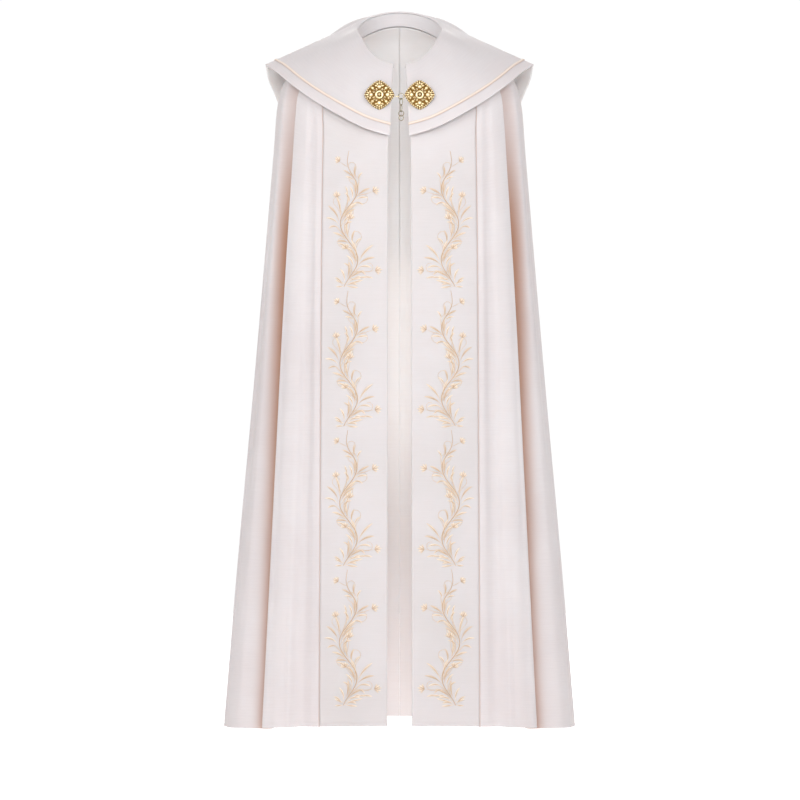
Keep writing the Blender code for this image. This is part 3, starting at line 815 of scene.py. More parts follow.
def row_numbers():
    """Ring numbers about 9 mm apart, closer at the neck and at the turned hem."""
    numbers = [0.0, 0.012]
    for ring, count in enumerate((14, 14, 12, 10, 14, 24, 28, 32, 34)):
        numbers += list(np.linspace(ring, ring + 1, count + 1)[1:])
    hem = [8.955, 8.968, 8.976, 8.982, 8.987, 8.992, 8.9965, HEM_RING]
    return [n for n in numbers if n < 8.95] + hem


ROW_NUMBERS = row_numbers()


# ---------------------------------------------------------------- making a wall of cloth
class Cloth(NamedTuple):
    """A grid of points, normals and the painted shade of its valleys."""

    points: np.ndarray
    normals: np.ndarray
    valley: np.ndarray


def grid_faces(height, width, start=0):
    """Quads of a grid of points."""
    r, c = np.meshgrid(np.arange(height - 1), np.arange(width - 1), indexing="ij")
    a = (start + r * width + c).ravel()
    return np.stack([a, a + 1, a + width + 1, a + width], axis=-1)


def threads_of(points):
    """UV in metres: across along the rows from the first column, and down the columns."""
    across = runs_along(points.transpose(1, 0, 2)).T
    down = np.broadcast_to(runs_along(points).mean(axis=1, keepdims=True), across.shape)
    return np.stack([across, -down], axis=-1)


LINING_PAINTED_SHADE = 0.4  # how much of a valley's painted shade shows on the inner face


def mark(mesh, name, values):
    """Gives each point of the mesh a value, or all of them the same one."""
    values = np.broadcast_to(np.asarray(values, dtype=np.float32), len(mesh.vertices))
    mesh.attributes.new(name, "FLOAT", "POINT").data.foreach_set("value", values.copy())


def finished(name, mesh, finishes, node=None, body="cope"):
    """An object for the mesh, smooth-shaded, riding on its body in place of its node."""
    for finish in finishes:
        mesh.materials.append(FINISH[finish])
    mesh.shade_smooth()
    piece = bpy.data.objects.new(name, mesh)
    bpy.context.scene.collection.objects.link(piece)
    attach(piece, body)
    if node:
        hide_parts(node)
    return piece


def wall(name, cloth, thickness, finishes, node, lift=0.0, rounding=0.42):
    """A closed wall of cloth with rounded edges; the second finish is its inner face."""
    points, normals, valley = cloth
    height, width = points.shape[:2]
    turned = np.zeros((height, width))
    turned[[0, -1], :] = rounding
    turned[:, [0, -1]] = rounding
    turned = (turned * thickness)[..., None]
    outer = points + normals * (lift - turned)
    inner = points + normals * (lift - thickness + turned)
    count = height * width
    top = grid_faces(height, width)
    under = grid_faces(height, width, count)[:, ::-1]
    rim = list(range(width))
    rim += [r * width + width - 1 for r in range(1, height)]
    rim += [(height - 1) * width + c for c in range(width - 2, -1, -1)]
    rim += [r * width for r in range(height - 2, 0, -1)]
    rim = np.array(rim)
    after = np.roll(rim, -1)
    sides = np.stack([after, rim, count + rim, count + after], axis=-1)
    turn = np.cross(outer[0, 1] - outer[0, 0], outer[1, 0] - outer[0, 0])
    faces = np.concatenate([top, under, sides])
    if np.dot(turn, normals[0, 0]) < 0:
        faces = faces[:, ::-1]
    mesh = bpy.data.meshes.new(name)
    verts = np.concatenate([outer.reshape(-1, 3), inner.reshape(-1, 3)])
    mesh.from_pydata(verts.tolist(), [], faces.tolist())
    threads = threads_of(points).reshape(-1, 2)
    threads = np.concatenate([threads, threads])
    loops = np.zeros(len(mesh.loops), dtype=np.int32)
    mesh.loops.foreach_get("vertex_index", loops)
    layer = mesh.uv_layers.new(name="threads")
    layer.data.foreach_set("uv", threads[loops].astype(np.float32).ravel())
    # painted shade in the valleys, weaker on the inner face
    mark(mesh, "valley", np.concatenate([valley.ravel(), valley.ravel() * LINING_PAINTED_SHADE]))
    index = np.zeros(len(faces), dtype=np.int32)
    index[len(top) : len(top) + len(under)] = len(finishes) - 1
    mesh.polygons.foreach_set("material_index", index)
    mesh.update()
    return finished(name, mesh, finishes, node)


# ---------------------------------------------------------------- the cape's panels
HEM_TURN = 0.0012  # how far in from a cut edge the cloth's full thickness starts


def band_shares(here):
    gap = SEAM_GAP / 2 / here.length
    return eased(0.0, here.band_share - gap, 36, HEM_TURN / here.length)


def panel_shares(here, start, end, count, crowd):
    """Places on a panel, as ways past the band, closer together from one of crowd's ways to the
    other, where the deep fold turns sharply."""
    rest = here.length * (1 - here.band_share)
    gap, hem = SEAM_GAP / 2 / rest, HEM_TURN / rest
    knots = [start + gap, crowd[0], crowd[1], end - gap]
    even = eased(0.0, 1.0, count, hem / (end - start))
    return mix(here.band_share, 1.0, np.interp(even, (0.0, 0.3, 0.7, 1.0), knots))


def front_shares(here):
    fold = FOLDS[1]
    middle = mix(fold.at_top, fold.at_hem, here.drop)
    half = mix(fold.half_top, fold.half_hem, here.drop)
    return panel_shares(here, 0.0, SIDE_SEAM, 132, (middle - 1.3 * half, middle + 0.9 * half))


def back_shares(here):
    return panel_shares(here, SIDE_SEAM, 1.0, 108, (0.6, 0.84))


def turned_hem(cloth):
    """Presses the faint line where the hem is turned up, 5 mm above the edge."""
    points, normals, valley = cloth
    fall = np.array([0.0, 0.0, 0.00012, 0.00045, 0.00012, 0.0, 0.0, 0.0])
    points[-8:] -= normals[-8:] * fall[:, None, None]
    return Cloth(points, normals, valley)


def make_cape():
    """Each panel's piece and its cloth, for both sides."""
    panels = (
        ("band", "embroidered_band", band_shares, BAND_CLOTH, "band", "band_satin", "front_band"),
        ("front", "draped_front", front_shares, CLOTH, "satin", "satin", "front_panel"),
        ("back", "draped_back", back_shares, CLOTH, "satin", "satin", "back_panel"),
    )
    made = {}
    for side, word in SIDES:
        for key, title, shares, thickness, finish, slot, node in panels:
            cloth = turned_hem(Cloth(*cape_grid(ROW_NUMBERS, shares, side)))
            name, finishes = f"{title}_{word}", [finish, "lining"]
            piece = wall(name, cloth, thickness, finishes, f"{node}_{word}")
            made[f"{key}_{word}"] = (piece, cloth)
    return made


# ---------------------------------------------------------------- the collar's surface
ROLL_ROWS = 8  # rows over the roll, then down the fall to the braid, on it and past it
ROWS_TO_BRAID = 22
ROWS_ON_BRAID = 4
ROWS_PAST_BRAID = 6
BRAID_ROW = ROLL_ROWS + ROWS_TO_BRAID  # the row on the braid's inner edge
FALL_REACH = 0.2  # about how far the collar falls
CROWN_SHAPE = 27 / 4  # brings the highest point of t (1 - t)^2 up to 1


def roll_centre(rib):
    """The middle of the collar's roll at this rib."""
    turn = math.radians(rib.turn)
    reach = NECK_FRONT if math.cos(turn) > 0 else NECK_BACK
    across = NECK_HALF_WIDTH * math.sin(turn)
    return np.array((across, -reach * math.cos(turn), rib.crest_z - ROLL))


def rib_frame(rib):
    """Where the fall starts, where it ends, its upward direction and the roll's last angle."""
    centre = roll_centre(rib)
    edge = np.array((rib.edge_x, rib.edge_y, rib.edge_z))
    chord = edge - centre
    up = np.array((0.0, 0.0, 1.0))
    rise = unit(up - chord * (chord[2] / chord.dot(chord)))
    start = chord + rise * (CROWN_SHAPE * rib.crown)
    last = math.atan2(-start[2], math.hypot(start[0], start[1]))
    outward = unit(np.array((chord[0], chord[1], 0.0)))
    return centre, edge, rise, last, outward


def braid_places(ribs, at):
    """Where the braid's edges cross this rib, so that it runs parallel to the collar's edge."""
    step = 0.05  # either way along the ribs, over which the edge's direction is read
    a = along_table(ribs, max(at - step, 0.0))
    b = along_table(ribs, min(at + step, len(ribs) - 1.0))
    edge_way = unit(np.array((b.edge_x - a.edge_x, b.edge_y - a.edge_y, b.edge_z - a.edge_z)))
    centre, edge = rib_frame(along_table(ribs, at))[:2]
    chord = edge - centre
    reach = np.linalg.norm(chord)
    lean = np.linalg.norm(np.cross(edge_way, chord / reach))
    near = BRAID_INSET / lean / reach
    far = (BRAID_INSET + BRAID_WIDTH) / lean / reach
    return 1 - far, 1 - near


def fall_places(braid):
    """Down the fall: even steps to the braid, across it, and on to the collar's edge."""
    to_braid = np.linspace(0.0, braid[0], ROWS_TO_BRAID + 1)
    across = np.linspace(braid[0], braid[1], ROWS_ON_BRAID + 1)[1:]
    to_edge = np.linspace(braid[1], 1 - HEM_TURN / FALL_REACH, ROWS_PAST_BRAID + 1)[1:]
    return np.concatenate([to_braid, across, to_edge, [1.0]])


def collar_column(ribs, at):
    """Points down one rib, with the roll's own normals where it has them."""
    rib = along_table(ribs, at)
    centre, edge, rise, last, outward = rib_frame(rib)
    angle = np.linspace(-math.pi / 2, last, ROLL_ROWS + 1)
    upright = np.array((0.0, 0.0, 1.0))
    normals = outward * np.sin(angle)[:, None] + upright * np.cos(angle)[:, None]
    roll = centre + normals * ROLL
    t = fall_places(braid_places(ribs, at))[1:, None]
    fall = mix(roll[-1], edge, t) + rise * (rib.crown * CROWN_SHAPE * t * (1 - t) ** 2)
    return np.concatenate([roll, fall]), normals


class Ripple(NamedTuple):
    """A soft wave across the collar, from the roll towards the edge."""

    column: float  # 0 is the front edge, 1 the shoulder, 2 the centre back
    start: float  # down the fall
    end: float
    half: float
    height: float


RIPPLES = [
    #     column start end  half  height
    Ripple(0.34, 0.10, 1.10, 0.16, 0.0012),
    Ripple(0.62, 0.05, 0.90, 0.14, -0.0010),
    Ripple(0.84, 0.25, 1.10, 0.12, 0.0012),
    Ripple(1.24, 0.30, 1.20, 0.12, 0.0026),
    Ripple(1.44, 0.25, 1.00, 0.12, -0.0020),
    Ripple(1.66, 0.35, 1.20, 0.14, 0.0030),
    Ripple(1.84, 0.30, 1.20, 0.10, -0.0018),
]
COLLAR_COLUMNS = 64
HOOD_COLUMNS = 76


def collar_and_hood():
    """Both cloths. They come from one run of columns, so they share a seam on the shoulder."""
    columns, known = [], []
    for ribs, count in ((COLLAR_RIBS, COLLAR_COLUMNS), (HOOD_RIBS, HOOD_COLUMNS)):
        for at in eased(0.0, len(ribs) - 1.0, count, 0.02):
            points, normals = collar_column(ribs, at)
            columns.append(points)
            known.append(normals)
        if ribs is COLLAR_RIBS:
            columns.pop()
            known.pop()
    run = mirrored(np.array(columns))
    normals = unit(np.cross(np.gradient(run, axis=1), np.gradient(run, axis=0)))
    normals[:, : ROLL_ROWS + 1] = mirrored(np.array(known))
    seam = COLLAR_COLUMNS
    seam_way = np.cross((0.0, 0.0, 1.0), rib_frame(HOOD_RIBS[0])[4])
    place = np.concatenate([np.linspace(0, 1, seam + 1), np.linspace(1, 2, HOOD_COLUMNS + 1)[1:]])
    place = np.concatenate([place, place[-2::-1]])
    fall = np.linspace(0, 1, run.shape[1] - ROLL_ROWS)
    lift = np.zeros(run.shape[:2])
    for ripple in RIPPLES:
        aside = lobe((place - ripple.column) / ripple.half)
        t = (fall - ripple.start) / (ripple.end - ripple.start)
        shape = smooth(t / 0.4) * smooth((1 - t) / 0.25)
        lift[:, ROLL_ROWS:] += aside[:, None] * shape[None, :] * ripple.height
    run = run + normals * lift[..., None]
    fresh = unit(np.cross(np.gradient(run, axis=1), np.gradient(run, axis=0)))
    normals[:, ROLL_ROWS + 2 :] = fresh[:, ROLL_ROWS + 2 :]
    total = len(run)
    for c in (seam, total - 1 - seam):
        square = seam_way if c == seam else seam_way * FLIP
        normals[c] = unit(normals[c] - square * (normals[c] @ square)[:, None])
    trim = seam_way * (SEAM_GAP / 2)
    pieces = []
    for first, last in ((0, seam + 1), (seam, total - seam)):
        points = run[first:last].copy()
        if first:
            points[0] += trim
            points[-1] = points[0] * FLIP
        else:
            points[-1] -= trim
        square = normals[first:last].transpose(1, 0, 2)
        pieces.append(Cloth(points.transpose(1, 0, 2), square, np.zeros(square.shape[:2])))
    return pieces


def other_side(cloth):
    """The same cloth on the wearer's other side."""
    points, normals, valley = (part[:, ::-1] for part in cloth)
    return Cloth(points * FLIP, normals * FLIP, valley)


def neckband_cloth():
    """The collar's stand inside the neck, from the cape's top edge to the roll."""
    columns = []
    for ribs, count in ((COLLAR_RIBS, 40), (HOOD_RIBS, 40)):
        for at in np.linspace(0.0, len(ribs) - 1.0, count + 1):
            rib = along_table(ribs, at)
            turn = math.radians(rib.turn)
            centre, _, _, _, outward = rib_frame(rib)
            top = centre - outward * ROLL - (0, 0, SEAM_GAP * 1.4)
            reach = NECK_FRONT if math.cos(turn) > 0 else NECK_BACK
            out = (math.sin(turn) / NECK_HALF_WIDTH, -math.cos(turn) / reach, 0.0)
            bottom = section(0).on_oval(np.array(turn)) - unit(np.array(out)) * CLOTH
            bottom[2] += 0.0010
            line = [mix(bottom, top, t) for t in (0.0, 0.06, 0.3, 0.5, 0.7, 0.94, 1.0)]
            columns.append((line, [-outward] * len(line)))
        if ribs is COLLAR_RIBS:
            columns.pop()
    points, normals = (mirrored(np.array(part)).transpose(1, 0, 2) for part in zip(*columns))
    return Cloth(points, normals, np.zeros(points.shape[:2]))


def make_collar():
    """Each piece of the collar and its cloth."""
    front, hood = collar_and_hood()
    made = {}
    for node, name, cloth in (
        ("collar_left", "turned_collar_left", front),
        ("collar_right", "turned_collar_right", other_side(front)),
        ("hood", "shield_hood", hood),
    ):
        piece = wall(name, cloth, COLLAR_CLOTH, ["satin", "lining"], node)
        made[node] = (piece, cloth)
    stand = neckband_cloth()
    piece = wall("collar_stand", stand, CLOTH, ["satin"], "neckband")
    made["stand"] = (piece, stand)
    return made


# ---------------------------------------------------------------- trims that follow the cloth
class Patch:
    """Places on a cloth by metres across and down, read from its grid."""

    def __init__(self, points, normals):
        self.points, self.normals = points, normals

    def at(self, column, row):
        """Points and normals at fractional columns and rows."""
        height, width = self.points.shape[:2]
        c = np.clip(np.floor(column).astype(int), 0, width - 2)
        r = np.clip(np.floor(row).astype(int), 0, height - 2)
        s, t = (column - c)[:, None], (row - r)[:, None]
        found = []
        for grid in (self.points, self.normals):
            above = grid[r, c] * (1 - s) + grid[r, c + 1] * s
            below = grid[r + 1, c] * (1 - s) + grid[r + 1, c + 1] * s
            found.append(above * (1 - t) + below * t)
        return found[0], unit(found[1])


def path_mesh(name, lines):
    """Loose edges for each line; what else it carries becomes attributes of its points."""
    mesh = bpy.data.meshes.new(name)
    points, edges, values = [], [], {}
    for line in lines:
        start = len(points)
        points += [tuple(p) for p in line["points"]]
        edges += [(start + i, start + i + 1) for i in range(len(line["points"]) - 1)]
        for key, value in line.items():
            if key != "points":
                values.setdefault(key, []).extend(value)
    mesh.from_pydata(points, edges, [])
    for key, value in values.items():
        if hasattr(value[0], "__len__"):
            flat = np.array(value, dtype=np.float32).ravel()
            mesh.attributes.new(key, "FLOAT_VECTOR", "POINT").data.foreach_set("vector", flat)
        else:
            mesh.attributes.new(key, "FLOAT", "POINT").data.foreach_set("value", value)
    holder = bpy.data.objects.new(name, mesh)
    bpy.context.scene.collection.objects.link(holder)
    return holder


def new_tree(name, sizes):
    """A Geometry Nodes tree with one geometry input and the named number inputs."""
    tree = bpy.data.node_groups.new(name, "GeometryNodeTree")
    face = tree.interface
    face.new_socket("Geometry", in_out="INPUT", socket_type="NodeSocketGeometry")
    face.new_socket("Geometry", in_out="OUTPUT", socket_type="NodeSocketGeometry")
    kinds = {size: "NodeSocketFloat" for size in sizes} | {"Finish": "NodeSocketMaterial"}
    keys = {}
    for size, kind in kinds.items():
        keys[size] = face.new_socket(size, in_out="INPUT", socket_type=kind).identifier
    return tree, keys, add_node(tree, "NodeGroupInput")


def end_tree(tree, geometry, given):
    """Makes the copies real and gives them their finish."""
    whole = add_node(tree, "GeometryNodeRealizeInstances", {"Geometry": geometry})
    coat = add_node(
        tree,
        "GeometryNodeSetMaterial",
        {"Geometry": whole.outputs["Geometry"], "Material": given.outputs["Finish"]},
    )
    add_node(tree, "NodeGroupOutput", {"Geometry": coat.outputs["Geometry"]})
    return tree


def satin_stroke_tree():
    """Padded satin stitch: a low rounded bar along each line, as wide as the line says."""
    tree, keys, given = new_tree("padded_satin_stitch", ["Step", "Height"])
    lines = add_node(tree, "GeometryNodeMeshToCurve", {"Mesh": given.outputs["Geometry"]})
    short = add_node(
        tree,
        "GeometryNodeResampleCurve",
        {"Curve": lines.outputs["Curve"], "Length": given.outputs["Step"]},
        mode="LENGTH",
    )
    place = add_node(tree, "GeometryNodeSplineParameter")
    measured = add_node(
        tree,
        "GeometryNodeStoreNamedAttribute",
        {"Geometry": short.outputs["Curve"], "Name": "run", "Value": place.outputs["Length"]},
        data_type="FLOAT",
        domain="POINT",
    )
    upright = add_node(
        tree,
        "GeometryNodeSetCurveNormal",
        {"Curve": measured.outputs["Geometry"]},
        mode="Z_UP",
    )
    ring = add_node(
        tree, "GeometryNodeCurvePrimitiveCircle", {"Resolution": 8, "Radius": 1.0}, mode="RADIUS"
    )
    spot = add_node(tree, "GeometryNodeInputPosition")
    parts = add_node(tree, "ShaderNodeSeparateXYZ", {"Vector": spot.outputs["Position"]})
    marked = add_node(
        tree,
        "GeometryNodeStoreNamedAttribute",
        {"Geometry": ring.outputs["Curve"], "Name": "across", "Value": parts.outputs["X"]},
        data_type="FLOAT",
        domain="POINT",
    )
    low = add_node(
        tree,
        "ShaderNodeCombineXYZ",
        {"X": 1.0, "Y": given.outputs["Height"], "Z": 1.0},
    )
    flat = add_node(
        tree,
        "GeometryNodeTransform",
        {"Geometry": marked.outputs["Geometry"], "Scale": low.outputs["Vector"]},
    )
    half_width = add_node(
        tree, "GeometryNodeInputNamedAttribute", {"Name": "half_width"}, data_type="FLOAT"
    )
    bar = add_node(
        tree,
        "GeometryNodeCurveToMesh",
        {
            "Curve": upright.outputs["Curve"],
            "Profile Curve": flat.outputs["Geometry"],
            "Fill Caps": True,
            "Scale": half_width.outputs["Attribute"],
        },
    )
    return end_tree(tree, bar.outputs["Mesh"], given), keys


def cord_tree():
    """A twisted cord: short slanting stitches, one after the other along each line."""
    tree, keys, given = new_tree("twisted_cord", ["Pitch", "Length", "Width", "Slant"])
    lines = add_node(tree, "GeometryNodeMeshToCurve", {"Mesh": given.outputs["Geometry"]})
    spots = add_node(
        tree,
        "GeometryNodeCurveToPoints",
        {"Curve": lines.outputs["Curve"], "Length": given.outputs["Pitch"]},
        mode="LENGTH",
    )
    facing = add_node(
        tree, "GeometryNodeInputNamedAttribute", {"Name": "facing"}, data_type="FLOAT_VECTOR"
    )
    upright = add_node(
        tree,
        "FunctionNodeAlignRotationToVector",
        {"Vector": facing.outputs["Attribute"]},
        axis="Z",
    )
    ahead = add_node(
        tree,
        "FunctionNodeAlignRotationToVector",
        {"Rotation": upright.outputs["Rotation"], "Vector": spots.outputs["Tangent"]},
        axis="X",
        pivot_axis="Z",
    )
    slant = add_node(tree, "ShaderNodeCombineXYZ", {"Z": given.outputs["Slant"]})
    turned = add_node(
        tree,
        "FunctionNodeRotateRotation",
        {"Rotation": ahead.outputs["Rotation"], "Rotate By": slant.outputs["Vector"]},
        rotation_space="LOCAL",
    )
    bead = add_node(
        tree, "GeometryNodeMeshUVSphere", {"Segments": 6, "Rings": 5, "Radius": 0.5}
    )
    size = add_node(
        tree,
        "ShaderNodeCombineXYZ",
        {
            "X": given.outputs["Length"],
            "Y": given.outputs["Width"],
            "Z": given.outputs["Width"],
        },
    )
    laid = add_node(
        tree,
        "GeometryNodeInstanceOnPoints",
        {
            "Points": spots.outputs["Points"],
            "Instance": bead.outputs["Mesh"],
            "Rotation": turned.outputs["Rotation"],
            "Scale": size.outputs["Vector"],
        },
    )
    return end_tree(tree, laid.outputs["Instances"], given), keys


def grown(holder, tree, keys, sizes, finish):
    """The plain mesh that the tree makes of the lines; the lines themselves are removed."""
    modifier = holder.modifiers.new("grow", "NODES")
    modifier.node_group = tree
    for size, value in sizes.items():
        modifier[keys[size]] = value
    modifier[keys["Finish"]] = FINISH[finish]
    bpy.context.view_layer.update()
    ready = holder.evaluated_get(bpy.context.evaluated_depsgraph_get())
    mesh = bpy.data.meshes.new_from_object(ready)
    mesh.name = holder.name
    mesh.materials.clear()
    bpy.data.objects.remove(holder)
    return mesh


STROKES = satin_stroke_tree()
CORDS = cord_tree()


# ---------------------------------------------------------------- the vine
def stem_place(down):
    """Across the band at a distance down from the sprig's tip, and the stem's heading."""
    wave = VINE_PITCH / 2
    swing = VINE_SWING * (0.35 + 0.65 * smooth(np.asarray(down) / 60.0))
    turn = 2 * math.pi * (np.asarray(down) + 26.0) / wave
    slow = 5.0 * np.sin(math.pi * np.asarray(down) / VINE_PITCH)
    return VINE_CENTRE + swing * np.sin(turn) + slow


def stem_heading(down):
    """Degrees of the stem's upward direction: 90 is straight up the band."""
    rise = stem_place(down - 1.0) - stem_place(down + 1.0)
    return math.degrees(math.atan2(2.0, rise))


def stroke(start, heading, length, bend, width, tone, widest=0.6, height=0.0):
    """One tapered stitch bar from start; heading in degrees, bend is its turn along the way."""
    place = np.array(start, dtype=float)
    points, widths, tones = [], [], []
    for i in range(BAR_STEPS + 1):
        t = i / BAR_STEPS
        points.append((place[0] / 1000, -place[1] / 1000, height / 1000))
        belly = max(0.0, math.sin(math.pi * t ** (math.log(0.5) / math.log(widest))))
        widths.append(max(LEAST_WIDTH, width * belly**0.8) / 2000)
        tones.append(min(1.0, max(0.0, tone + 0.2 * (0.5 - t))))
        angle = math.radians(heading + bend * t)
        place += np.array((math.cos(angle), -math.sin(angle))) * (length / BAR_STEPS)
    return {"points": points, "half_width": widths, "tone": tones}


def flat_place(point):
    """Millimetres across and down the band, from a stitch's point in metres."""
    return point[0] * 1000, -point[1] * 1000


def leaf_lines(root, heading, length, bend, width, tone):
    """A pale padded leaf with a darker vein laid on the middle of it."""
    body = stroke(root, heading, length, bend, width, tone, 0.66)
    place = flat_place(body["points"][3])
    turned, rest = heading + bend * 0.25, bend * 0.6
    vein = stroke(place, turned, length * 0.6, rest, VEIN_WIDTH, DARK, 0.55, width * 0.12)
    return [body, vein]


def fan_lines(fan, base):
    """Leaves on both sides of the stem, each lower, shorter and more bent than the one within."""
    lines = []
    for side, count in ((1, fan.seam), (-1, fan.front)):
        for i in range(count):
            down = fan.down + FAN_SPACING * i
            root = (stem_place(down) + side * (2.2 + 0.8 * i), down + base - 1.6)
            heading = stem_heading(down) - side * (9 + 0.6 * fan.opening * i)
            bend = -side * (38 + 1.4 * fan.opening * i)
            tone = 0.04 + 0.20 * ((i * 7 + int(fan.down)) % 3)
            length = fan.reach * (1.0 - 0.16 * i)
            lines += leaf_lines(root, heading, length, bend, fan.width * (1.0 - 0.08 * i), tone)
    return lines


def foot_lines(base):
    """Long flat leaves that spread from the foot of each sprig."""
    lines = []
    for side, rise, length, down in (  # rise: degrees that the leaf leans from upright
        (-1, 84, 36, 260),
        (-1, 104, 27, 264),
        (1, 74, 22, 261),
        (1, 100, 17, 265),
    ):
        root = (stem_place(down), down + base)
        lines += leaf_lines(root, 90 - side * rise, length, side * 14, 3.8, PALE)
    return lines


def strand_lines(upper, lower, base):
    """Two long feathers that run beside the stem from one fan up to the next."""
    lines = []
    run = lower - upper
    for side, start, width in ((1, 0.90, 1.9), (-1, 0.74, 1.6)):
        down = upper + run * start
        root = (stem_place(down) + side * 0.8, down + base)
        heading = stem_heading(down - run * 0.35) - side * 9
        lines.append(stroke(root, heading, run * 0.8, -side * 18, width, 0.45, 0.5, 0.3))
    return lines


def spray_lines(spray, base):
    """A twig with its comb of leaves, the outermost the longest."""
    root = (stem_place(spray.down), spray.down + base)
    heading = stem_heading(spray.down) - spray.side * spray.lean
    twig = stroke(root, heading, spray.stalk, spray.side * 24, 1.2, MIDDLE, 0.5)
    lines = [twig]
    for i in range(spray.leaves):
        share = i / (spray.leaves - 1)
        place = flat_place(twig["points"][round(4 + 8 * share)])
        lean = heading + spray.side * (30 - 16 * share)
        length = spray.reach * (0.72 + 0.28 * share)
        lines += leaf_lines(place, lean, length, -spray.side * 30, LEAF_WIDTH, PALE)
    return lines


def curl_line(curl, base):
    """A fine stalk that turns into a curl, stitch by stitch."""
    down = curl.down
    place = np.array((stem_place(down), down + base), dtype=float)
    heading = stem_heading(down) - curl.side * 40
    points, widths, tones = [], [], []
    straight = int(curl.reach / CURL_STITCH)
    bent = int(math.radians(curl.turn) * curl.radius * 0.8 / CURL_STITCH)
    for i in range(straight + bent):
        points.append((place[0] / 1000, -place[1] / 1000, 0.0))
        widths.append(0.00072 if i % 2 else 0.00014)  # each second point dips under the cloth
        tones.append(MIDDLE)
        angle = math.radians(heading)
        place += np.array((math.cos(angle), -math.sin(angle))) * CURL_STITCH
        if i > straight:
            tight = 1.0 + 0.7 * (i - straight) / bent
            heading += curl.side * math.degrees(CURL_STITCH / curl.radius) * tight
        else:
            heading -= curl.side * 2.0
    return {"points": points, "half_width": widths, "tone": tones}


def bud_lines(bud, base):
    """Stalk, two sepals and five petals of a half-open flower."""
    down = bud.down
    root = (stem_place(down), down + base)
    heading = stem_heading(down) - bud.side * bud.lean
    lines = [stroke(root, heading, bud.stalk, bud.side * 14, 1.1, 0.55, 0.5)]
    place = flat_place(lines[0]["points"][-1])
    out = heading + bud.side * 14
    for k in (-2, -1, 0, 1, 2):
        size = bud.size * (1.0 - 0.10 * abs(k))
        tone = 0.08 if k % 2 else 0.26
        lines.append(stroke(place, out + 24 * k, size, 7 * k, 3.8, tone, 0.6, 0.1))
    for k in (-1, 1):
        lines.append(stroke(place, out + 58 * k, bud.size * 0.62, -30 * k, 2.0, 0.6, 0.5, 0.5))
        lines.append(stroke(place, out + 13 * k, bud.size * 0.72, 4 * k, 1.2, DARK, 0.5, 0.7))
    return lines


def sprig_lines(base):
    """One repeat of the vine: its stem, fans of leaves, curls and buds."""
    downs = np.linspace(2.0, VINE_PITCH - 6.0, 90)
    grow = smooth(downs / 70.0) * (1 - 0.4 * smooth((downs - 210.0) / 55.0))
    lines = []
    for aside, thick, tone, height in ((0.0, 1.5, 0.25, 0.0), (0.3, 0.75, 0.9, 0.4)):
        across = stem_place(downs) + aside
        points = [(a / 1000, -(d + base) / 1000, height / 1000) for a, d in zip(across, downs)]
        widths = list(thick * (0.4 + 0.6 * grow) / 1000 / 1.3)
        lines.append({"points": points, "half_width": widths, "tone": [tone] * len(downs)})
    for fan in FANS:
        lines += fan_lines(fan, base)
    for upper, lower in zip(FANS, FANS[1:]):
        lines += strand_lines(upper.down, lower.down, base)
    lines += foot_lines(base)
    for spray in SPRAYS:
        lines += spray_lines(spray, base)
    for curl in CURLS:
        lines.append(curl_line(curl, base))
    for bud in BUDS:
        lines += bud_lines(bud, base)
    return lines


def lay_on_band(mesh, band, side):
    """Bends the flat stitching onto the band: x is metres from the front edge, y metres down."""
    points, normals, _ = band
    middle = points[:, points.shape[1] // 2]
    falls = runs_along(middle)
    level = np.interp(-COLLAR_RIBS[0].edge_z, -middle[:, 2], falls)
    place = np.zeros(len(mesh.vertices) * 3)
    mesh.vertices.foreach_get("co", place)
    place = place.reshape(-1, 3)
    rows = np.interp(level + VINE_TOP / 1000 - place[:, 1], falls, np.arange(len(falls)))
    runs = runs_along(points.transpose(1, 0, 2)).T
    low = np.clip(np.floor(rows).astype(int), 0, len(points) - 1)
    columns = np.zeros(len(place))
    for r in np.unique(low):
        here = low == r
        columns[here] = np.interp(place[here, 0], runs[r], np.arange(points.shape[1]))
    spots, out = Patch(points, normals).at(columns, rows)
    spots = spots + out * (place[:, 2] + STITCH_LIFT / 1000)[:, None]
    mesh.vertices.foreach_set("co", spots.ravel())
    if side < 0:
        mesh.flip_normals()
    mesh.update()


def make_vine(made):
    """The same flat stitching for both bands, each laid on its own."""
    lines = [line for k in range(VINE_REPEATS) for line in sprig_lines(k * VINE_PITCH)]
    pieces = {}
    for side, word in SIDES:
        name = f"vine_embroidery_{word}"
        mesh = grown(path_mesh(name, lines), *STROKES, STITCH, "vine")
        lay_on_band(mesh, made[f"band_{word}"][1], side)
        pieces[word] = finished(name, mesh, ["vine"])
    return pieces


# ---------------------------------------------------------------- braid and piping
BRAID_RIB = 0.0011  # from one cross rib to the next
BRAID_DOME = 0.0010
EDGE_CORD = {"Pitch": 0.0015, "Length": 0.0022, "Width": 0.0011, "Slant": 0.6}
SEAM_CORD = {"Pitch": 0.0018, "Length": 0.0028, "Width": 0.0016, "Slant": 0.55}


def line_on(points, normals, lift):
    """One line of points lifted off the cloth, with the way it faces."""
    raised = points + normals * lift
    return {"points": raised.tolist(), "facing": normals.tolist()}


def make_cord(name, line, sizes, node=None):
    """A twisted cord along the line, in one plain tone."""
    mesh = grown(path_mesh(name, [line]), *CORDS, sizes, "cord")
    for key, value in (("tone", 0.6), ("run", 0.0), ("across", 0.0)):
        mark(mesh, key, value)
    return finished(name, mesh, ["cord"], node)


